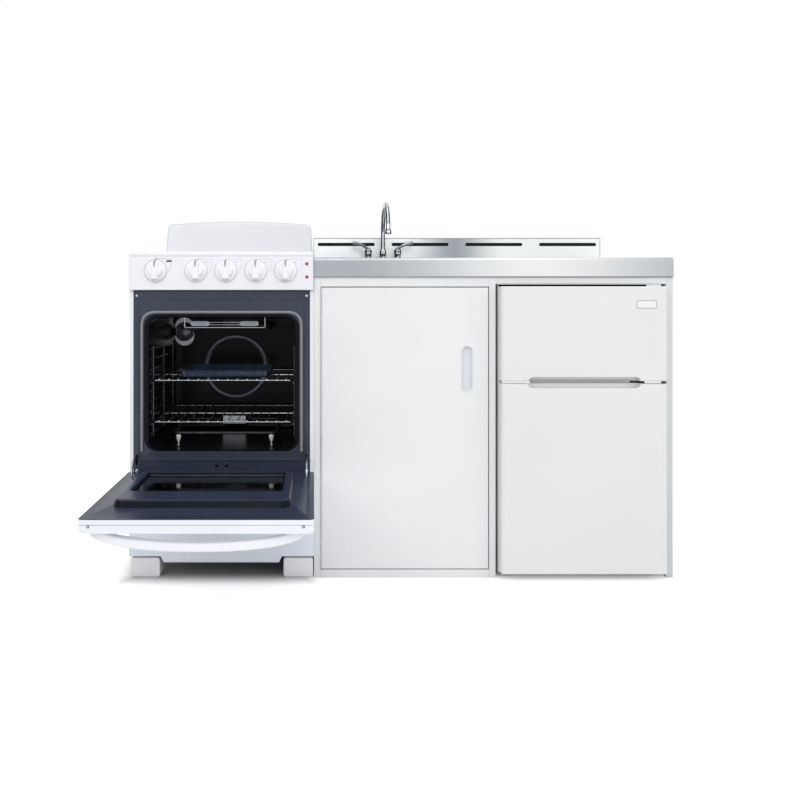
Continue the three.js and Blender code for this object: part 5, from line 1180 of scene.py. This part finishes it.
half = SPOUT_REACH / 2
neck = [(TAP_X, TAP_Y, 952)]
neck += [(TAP_X, TAP_Y - half + u, v) for u, v in arc(0, SPOUT_BEND, half, 0, 180, 48)]
spout = merged(
    "gooseneck", tube("neck", neck, 7.6, 24), turned("swivel", SWIVEL, TAP_X, TAP_Y, COLUMN_TOP),
    turned("aerator", AERATOR, TAP_X, TAP_Y - SPOUT_REACH, MOUTH_HEIGHT),
)
dress(spout, tap_chrome, "chrome", "tap_spout", body="tap_spout_body", crease=50)

for side, way in (("left", -1), ("right", 1)):
    x = TAP_X + way * TAP_PITCH
    arm_rings = []
    for i in range(LEVER_STEPS + 1):
        t = i / LEVER_STEPS
        rise = 12 + 15 * (1 - (1 - t) ** 3) + 9 * t
        tip = max(0, t - TIP_START) / (1 - TIP_START)
        wide = 4.8 + 3 * t**1.5 - 2.6 * tip
        thick = 4.6 + 1.4 * t - 1.6 * tip * tip
        section = centred(0, 0, wide, thick, min(wide, thick) * 0.95, 4)
        height = COLUMN_TOP + rise
        arm_rings.append([(x + way * (LEVER_LENGTH * t - LEVER_LEAN * v), TAP_Y + u, height + v)
                          for u, v in section])
    hub = turned("hub", HUB, x, TAP_Y, COLUMN_TOP)
    lever = merged(f"lever_{side}", hub, loft("arm", arm_rings))
    dress(lever, lever_chrome_shaded, "chrome", f"tap_lever_{side}", body=f"tap_lever_{side}_body",
          crease=50)

# ---- Fridge-freezer
# A compact two-door unit in the bay: a painted steel shell on four feet with a white plastic
# liner, and foamed doors in a coated skin with a fine grain.

FRIDGE = (1043, 1505)
FREEZER_DOOR, COOLER_DOOR = (559, 823), (22, 552)
DOOR_BACK, DOOR_FRONT, GRIP_BACK = -4, -46, -20
GRIP = (1116, 1431, 540, 571)
GAP_LOW, GAP_HIGH = COOLER_DOOR[1] + 1, FREEZER_DOOR[0] + 2
SKIN_ROLL = ((0, 14, 4), (0.25, 10, 2.6), (0.9, 6.4, 1.5), (2, 3.6, 0.8), (3.8, 1.5, 0.3),
             (6.4, 0.3, 0), (9, 0, 0), (28, 0, 0))
BADGE = (1418, 1474, 761, 784)
CAN = [(0, 0.2), (62, 0.2), (62.4, 5), (70, 18), (75, 34), (77.6, 60), (78, 78), (77.6, 84),
       (78, 86), (77.4, 88), (74, 112), (66, 132), (50, 147), (28, 153.4), (0, 155)]


def leather_group():
    """The fine pebbled grain rolled into a coated appliance skin."""
    tree, given, way_out = open_group("leather_grain", Pebble=NUMBER)
    cells = {"Vector": given["Place"], "Scale": given["Pebble"]}
    pebbles = node(tree, "TexVoronoi", cells).outputs[0]
    tone = blend(tree, noise(tree, given["Place"], 2.5), given["Colour"], given["Shade"])
    gloss = maths(tree, "MULTIPLY_ADD", pebbles, 0.12, given["Gloss"])
    return close_group(tree, way_out, tone, gloss, pebbles)


fridge_skin = surfaced("fridge_skin", leather_group(), "E6E6E6", "DEDEDE", 0.32, 0.12, {},
                       Pebble=520.0)
shell_white = coated("shell_white", "E2E3E4", "D8D9DB", 0.36, grain=500.0, relief=0.08)
liner_white = coated("liner_white", "F0F1F1", "E8EAEB", 0.28, grain=900.0, relief=0.04)
seal_white = coated("seal_white", "D9DADB", "CDCED0", 0.6, relief=0.15)
badge_silver = coated("badge_silver", "EEEFF0", "E4E6E8", 0.25, relief=0.02, Metallic=0.15)
badge_edge = coated("badge_edge", "A9ACB0", "9C9FA4", 0.3, relief=0.02, Metallic=0.4)
grip_gap_shade = coated("grip_shade", "B4B5B6", "A9AAAC", 0.5, relief=0.05)
gap_painted_shadow = coated("gap_painted_shadow", "050506", "08090A", 0.9, relief=0.1, Specular_IOR_Level=0.1)
hinge_dark = coated("hinge_dark", "4A4D51", "3C3F43", 0.4, patch=80.0, relief=0.12, Metallic=0.6)
compressor_black = coated("compressor_black", "1B1C1E", "242527", 0.42, grain=700.0, relief=0.2)
shelf_glass = glass_material("shelf_glass", "D4E2DE", 0.04)

dress(eased("fridge_case", "fridge_shell", 0.9), shell_white, "white_steel", "fridge_shell")
dress(eased("fridge_tub", "fridge_liner", 1.6, 3), liner_white, "white_plastic", "fridge_liner")


def door_outline(low, high, notch=None, side=0, end=0, r=3):
    """A door's outline, less the part of the grip's long hole that lies at its low or high edge."""
    x0, x1, low, high = FRIDGE[0] + side, FRIDGE[1] - side, low + end, high - end
    if notch is None:
        return rounded(x0, x1, low, high, r, 4)
    g0, g1, gz0, gz1 = GRIP
    middle, half = (gz0 + gz1) / 2, (gz1 - gz0) / 2
    left, right = g0 + half, g1 - half
    low_left, low_right = arc(x0 + r, low + r, r, 180, 270, 4), arc(x1 - r, low + r, r, -90, 0, 4)
    high_right, high_left = arc(x1 - r, high - r, r, 0, 90, 4), arc(x0 + r, high - r, r, 90, 180, 4)
    if notch == "low":
        sweep = math.degrees(math.asin((low - middle) / half))
        cut = arc(left, middle, half, 180 - sweep, 90, 8) + arc(right, middle, half, 90, sweep, 8)
        return low_left + cut + low_right + high_right + high_left
    sweep = math.degrees(math.asin((middle - high) / half))
    cut = arc(right, middle, half, -sweep, -90, 8) + arc(left, middle, half, -90, sweep - 180, 8)
    return low_left + low_right + high_right + cut + high_left


for name, (low, high), notch in (("freezer_door", FREEZER_DOOR, "low"),
                                 ("fridge_door", COOLER_DOOR, "high")):
    body = f"{name}_body"
    x0, x1 = FRIDGE
    box = (x0, x1, low, high)
    roll = [upright(door_outline(low, high, notch, side, end), DOOR_FRONT + deep)
            for deep, side, end in SKIN_ROLL]
    back = plate("skin_back", door_outline(low, high), GRIP_BACK, DOOR_BACK, edge=0.8)
    skin = merged(f"{name}_skin", loft("skin_front", roll), back)
    dress(skin, fridge_skin, "fridge_white", name, body=body)
    middle = (x0 + x1) / 2
    seal_loop = [(middle, low + 17), (x0 + 17, low + 17), (x0 + 17, high - 17),
                 (x1 - 17, high - 17), (x1 - 17, low + 17), (middle, low + 17)]
    magnet = tube("magnet_seal", bent(upright(seal_loop, -2.2), 6)[:-1], 1.7, 8, True)
    seal_lip = plate("seal_lip", shrunk(box, 10, 6), -4.2, -2.4, holes=[shrunk(box, 24, 4)],
                     edge=0.4)
    dress(merged(f"{name}_gasket", magnet, seal_lip), seal_white, "white_plastic", body=body)
    panel = plate(f"{name}_panel", shrunk(box, 30, 12), -4.4, -1.2, edge=1.2)
    dress(panel, liner_white, "white_plastic", body=body)

badge = plate("bare_badge", rounded(*BADGE, 3), DOOR_FRONT - 0.4, DOOR_FRONT + 0.5, edge=0.35)
dress(badge, badge_silver, "chrome", body="freezer_door_body")
badge_rim = plate("badge_rim", rounded(*BADGE, 3), DOOR_FRONT - 0.5, DOOR_FRONT + 0.2,
                  holes=[shrunk(BADGE, 1.8, 2.2)], edge=0.2)
dress(badge_rim, badge_edge, "chrome", body="freezer_door_body")
lips = [plate("end_lip", rounded(left, right, GAP_LOW, GAP_HIGH, 0.8), DOOR_FRONT + 3,
              DOOR_FRONT + 5, edge=0.4)
        for left, right in ((FRIDGE[0] + 1, GRIP[0] + 6), (GRIP[1] + 10, FRIDGE[1] - 18))]
dress(merged("freezer_end_lip", *lips), fridge_skin, "fridge_white", body="freezer_door_body")
# A grey strip in the gap between the doors, inside the grip's hole, is painted shade.
grip_shade_plate = plate("freezer_grip_painted_shade", rounded(GRIP[0] + 4, 1408, GAP_LOW, GAP_HIGH, 2),
                 GRIP_BACK - 1.6, GRIP_BACK - 0.4, edge=0.4)
dress(grip_shade_plate, grip_gap_shade, "fridge_white", body="freezer_door_body")
# A near-black strip in the gap over the freezer door is painted shadow.
strip = plate("top_gap_painted_shadow", rounded(FRIDGE[0] + 1, FRIDGE[1] - 44, FREEZER_DOOR[1] - 4,
                                      FREEZER_DOOR[1] + 5.4, 1), -3.4, -0.6, edge=0.4)
dress(strip, gap_painted_shadow, "seal")

hinge_leaf = plate("leaf", [(1415, 0), (1415, -4), (1483, -39), (1503, -39), (1503, 0)], 553.5,
                   557.5, "flat", edge=0.6)
hinge_pin = turned("pin", [(0, -9), (2.6, -9), (3, -8), (3, 12), (2.6, 13), (0, 13)], 1495, -31,
                   553.5, "up", 24)
dress(merged("centre_hinge", hinge_leaf, hinge_pin), hinge_dark, "grey_steel", "middle_hinge")
dress(turned("compressor_can", CAN, 1274, 400, 16, "up", 64), compressor_black, "heater_black",
      "compressor", crease=60)
dress(eased("shelf_pane", "fridge_shelf", 1.2, 3), shelf_glass, "glass", "fridge_shelf")
shelf_trim = plate("shelf_trim", rounded(1077.6, 1470.4, 379.4, 386, 2), 11, 16, edge=1)
dress(shelf_trim, liner_white, "white_plastic")

# ---- Floor, light and camera
# A plain pale floor that carries the unit's shadow, soft studio light from the front, above
# and both sides, and a level camera at the photograph's height, left of the unit's middle.

CAMERA_PLACE = (-0.2526, -2.446, 0.776)
CAMERA_LENS = 38.16
CAMERA_SHIFT = (0.11, -0.121)
LAMPS = {
    "front_left": ((-2.7, -3.2, 2.6), 2.0, 27, (58, 0, -38)),
    "front_right": ((3.4, -2.6, 2.4), 2.0, 26, (62, 0, 50)),
    "front_high": ((-0.2, -3.6, 2.7), 1.6, 27, (60, 0, 0)),
    "overhead": ((0, -0.6, 3.6), 2.8, 22, (8, 0, 0)),
}
# Under the unit's footprints the floor's glow fades to nothing, and under the range its colour is
# darkened as well: a painted shadow.
FOOTPRINTS = (
    ((0, 0.27, 0), (0.76, 0.31, 1)),
    ((-0.516, 0.27, 0), (0.262, 0.345, 1)),
)
GLOW_UNDER, GLOW_AROUND, FLOOR_SHADE, FLOOR_WHITE = 0.0, 0.55, 0.42, 0.86
GLOW_EDGE, PAINTED_SHADOW_EDGE = (0.8, 1.2), (0.88, 1.14)  # in shares of a footprint's half size
AMBIENT, BACKDROP = 0.66, 1.0


def unlit_rays(tree):
    """1 for the rays that look at a background: from the camera, a mirror or a pane."""
    seen = node(tree, "LightPath").outputs
    straight = maths(tree, "MAXIMUM", seen["Is Camera Ray"], seen["Is Glossy Ray"])
    return maths(tree, "MAXIMUM", straight, seen["Is Transmission Ray"])


floor_paint = bpy.data.materials.new("floor_paint")
floor_paint.use_nodes = True
tree = floor_paint.node_tree
place = node(tree, "NewGeometry").outputs["Position"]
reaches = []
for middle, half in FOOTPRINTS:
    offset = maths(tree, "SUBTRACT", place, middle, kind="VectorMath")
    spread = maths(tree, "ABSOLUTE", offset, kind="VectorMath")
    shares = maths(tree, "DIVIDE", spread, half, kind="VectorMath")
    sides = node(tree, "SeparateXYZ", {0: shares}).outputs
    reaches.append(maths(tree, "MAXIMUM", sides[0], sides[1]))
outside = maths(tree, "MINIMUM", *reaches)
glow = ramp(tree, outside, *GLOW_EDGE, GLOW_UNDER, GLOW_AROUND, "SMOOTHSTEP")
painted_shadow = ramp(tree, reaches[1], *PAINTED_SHADOW_EDGE, FLOOR_SHADE, FLOOR_WHITE, "SMOOTHSTEP")
shader = tree.nodes["Principled BSDF"].inputs
tree.links.new(painted_shadow, shader["Base Color"])
shader["Roughness"].default_value = 0.9
shader["Emission Color"].default_value = (1, 1, 1, 1)
tree.links.new(maths(tree, "MULTIPLY", unlit_rays(tree), glow), shader["Emission Strength"])
bpy.ops.mesh.primitive_plane_add(size=60, location=(0, 0, -0.0005))
floor = bpy.context.object
floor.name = "studio_floor"
floor.data.materials.append(floor_paint)

world = bpy.data.worlds.new("studio")
world.use_nodes = True
bpy.context.scene.world = world
tree = world.node_tree
strength = node(tree, "Mix", {0: unlit_rays(tree), 2: AMBIENT, 3: BACKDROP}, data_type="FLOAT")
sky = tree.nodes["Background"].inputs
sky["Color"].default_value = (1, 1, 1, 1)
tree.links.new(strength.outputs[0], sky["Strength"])

for name, (place, size, power, turn) in LAMPS.items():
    lamp = bpy.data.lights.new("lamp_" + name, "AREA")
    lamp.shape = "RECTANGLE"
    lamp.size = lamp.size_y = size
    lamp.energy = power
    holder = bpy.data.objects.new("lamp_" + name, lamp)
    holder.location = place
    holder.rotation_euler = [math.radians(t) for t in turn]
    bpy.context.scene.collection.objects.link(holder)

camera = bpy.data.cameras.new("studio_camera")
camera.lens = CAMERA_LENS
camera.sensor_width = 36
camera.shift_x, camera.shift_y = CAMERA_SHIFT
viewer = bpy.data.objects.new("studio_camera", camera)
viewer.location = CAMERA_PLACE
viewer.rotation_euler = (math.radians(90), 0, 0)
bpy.context.scene.collection.objects.link(viewer)
bpy.context.scene.camera = viewer
bpy.context.scene.view_settings.view_transform = "Standard"
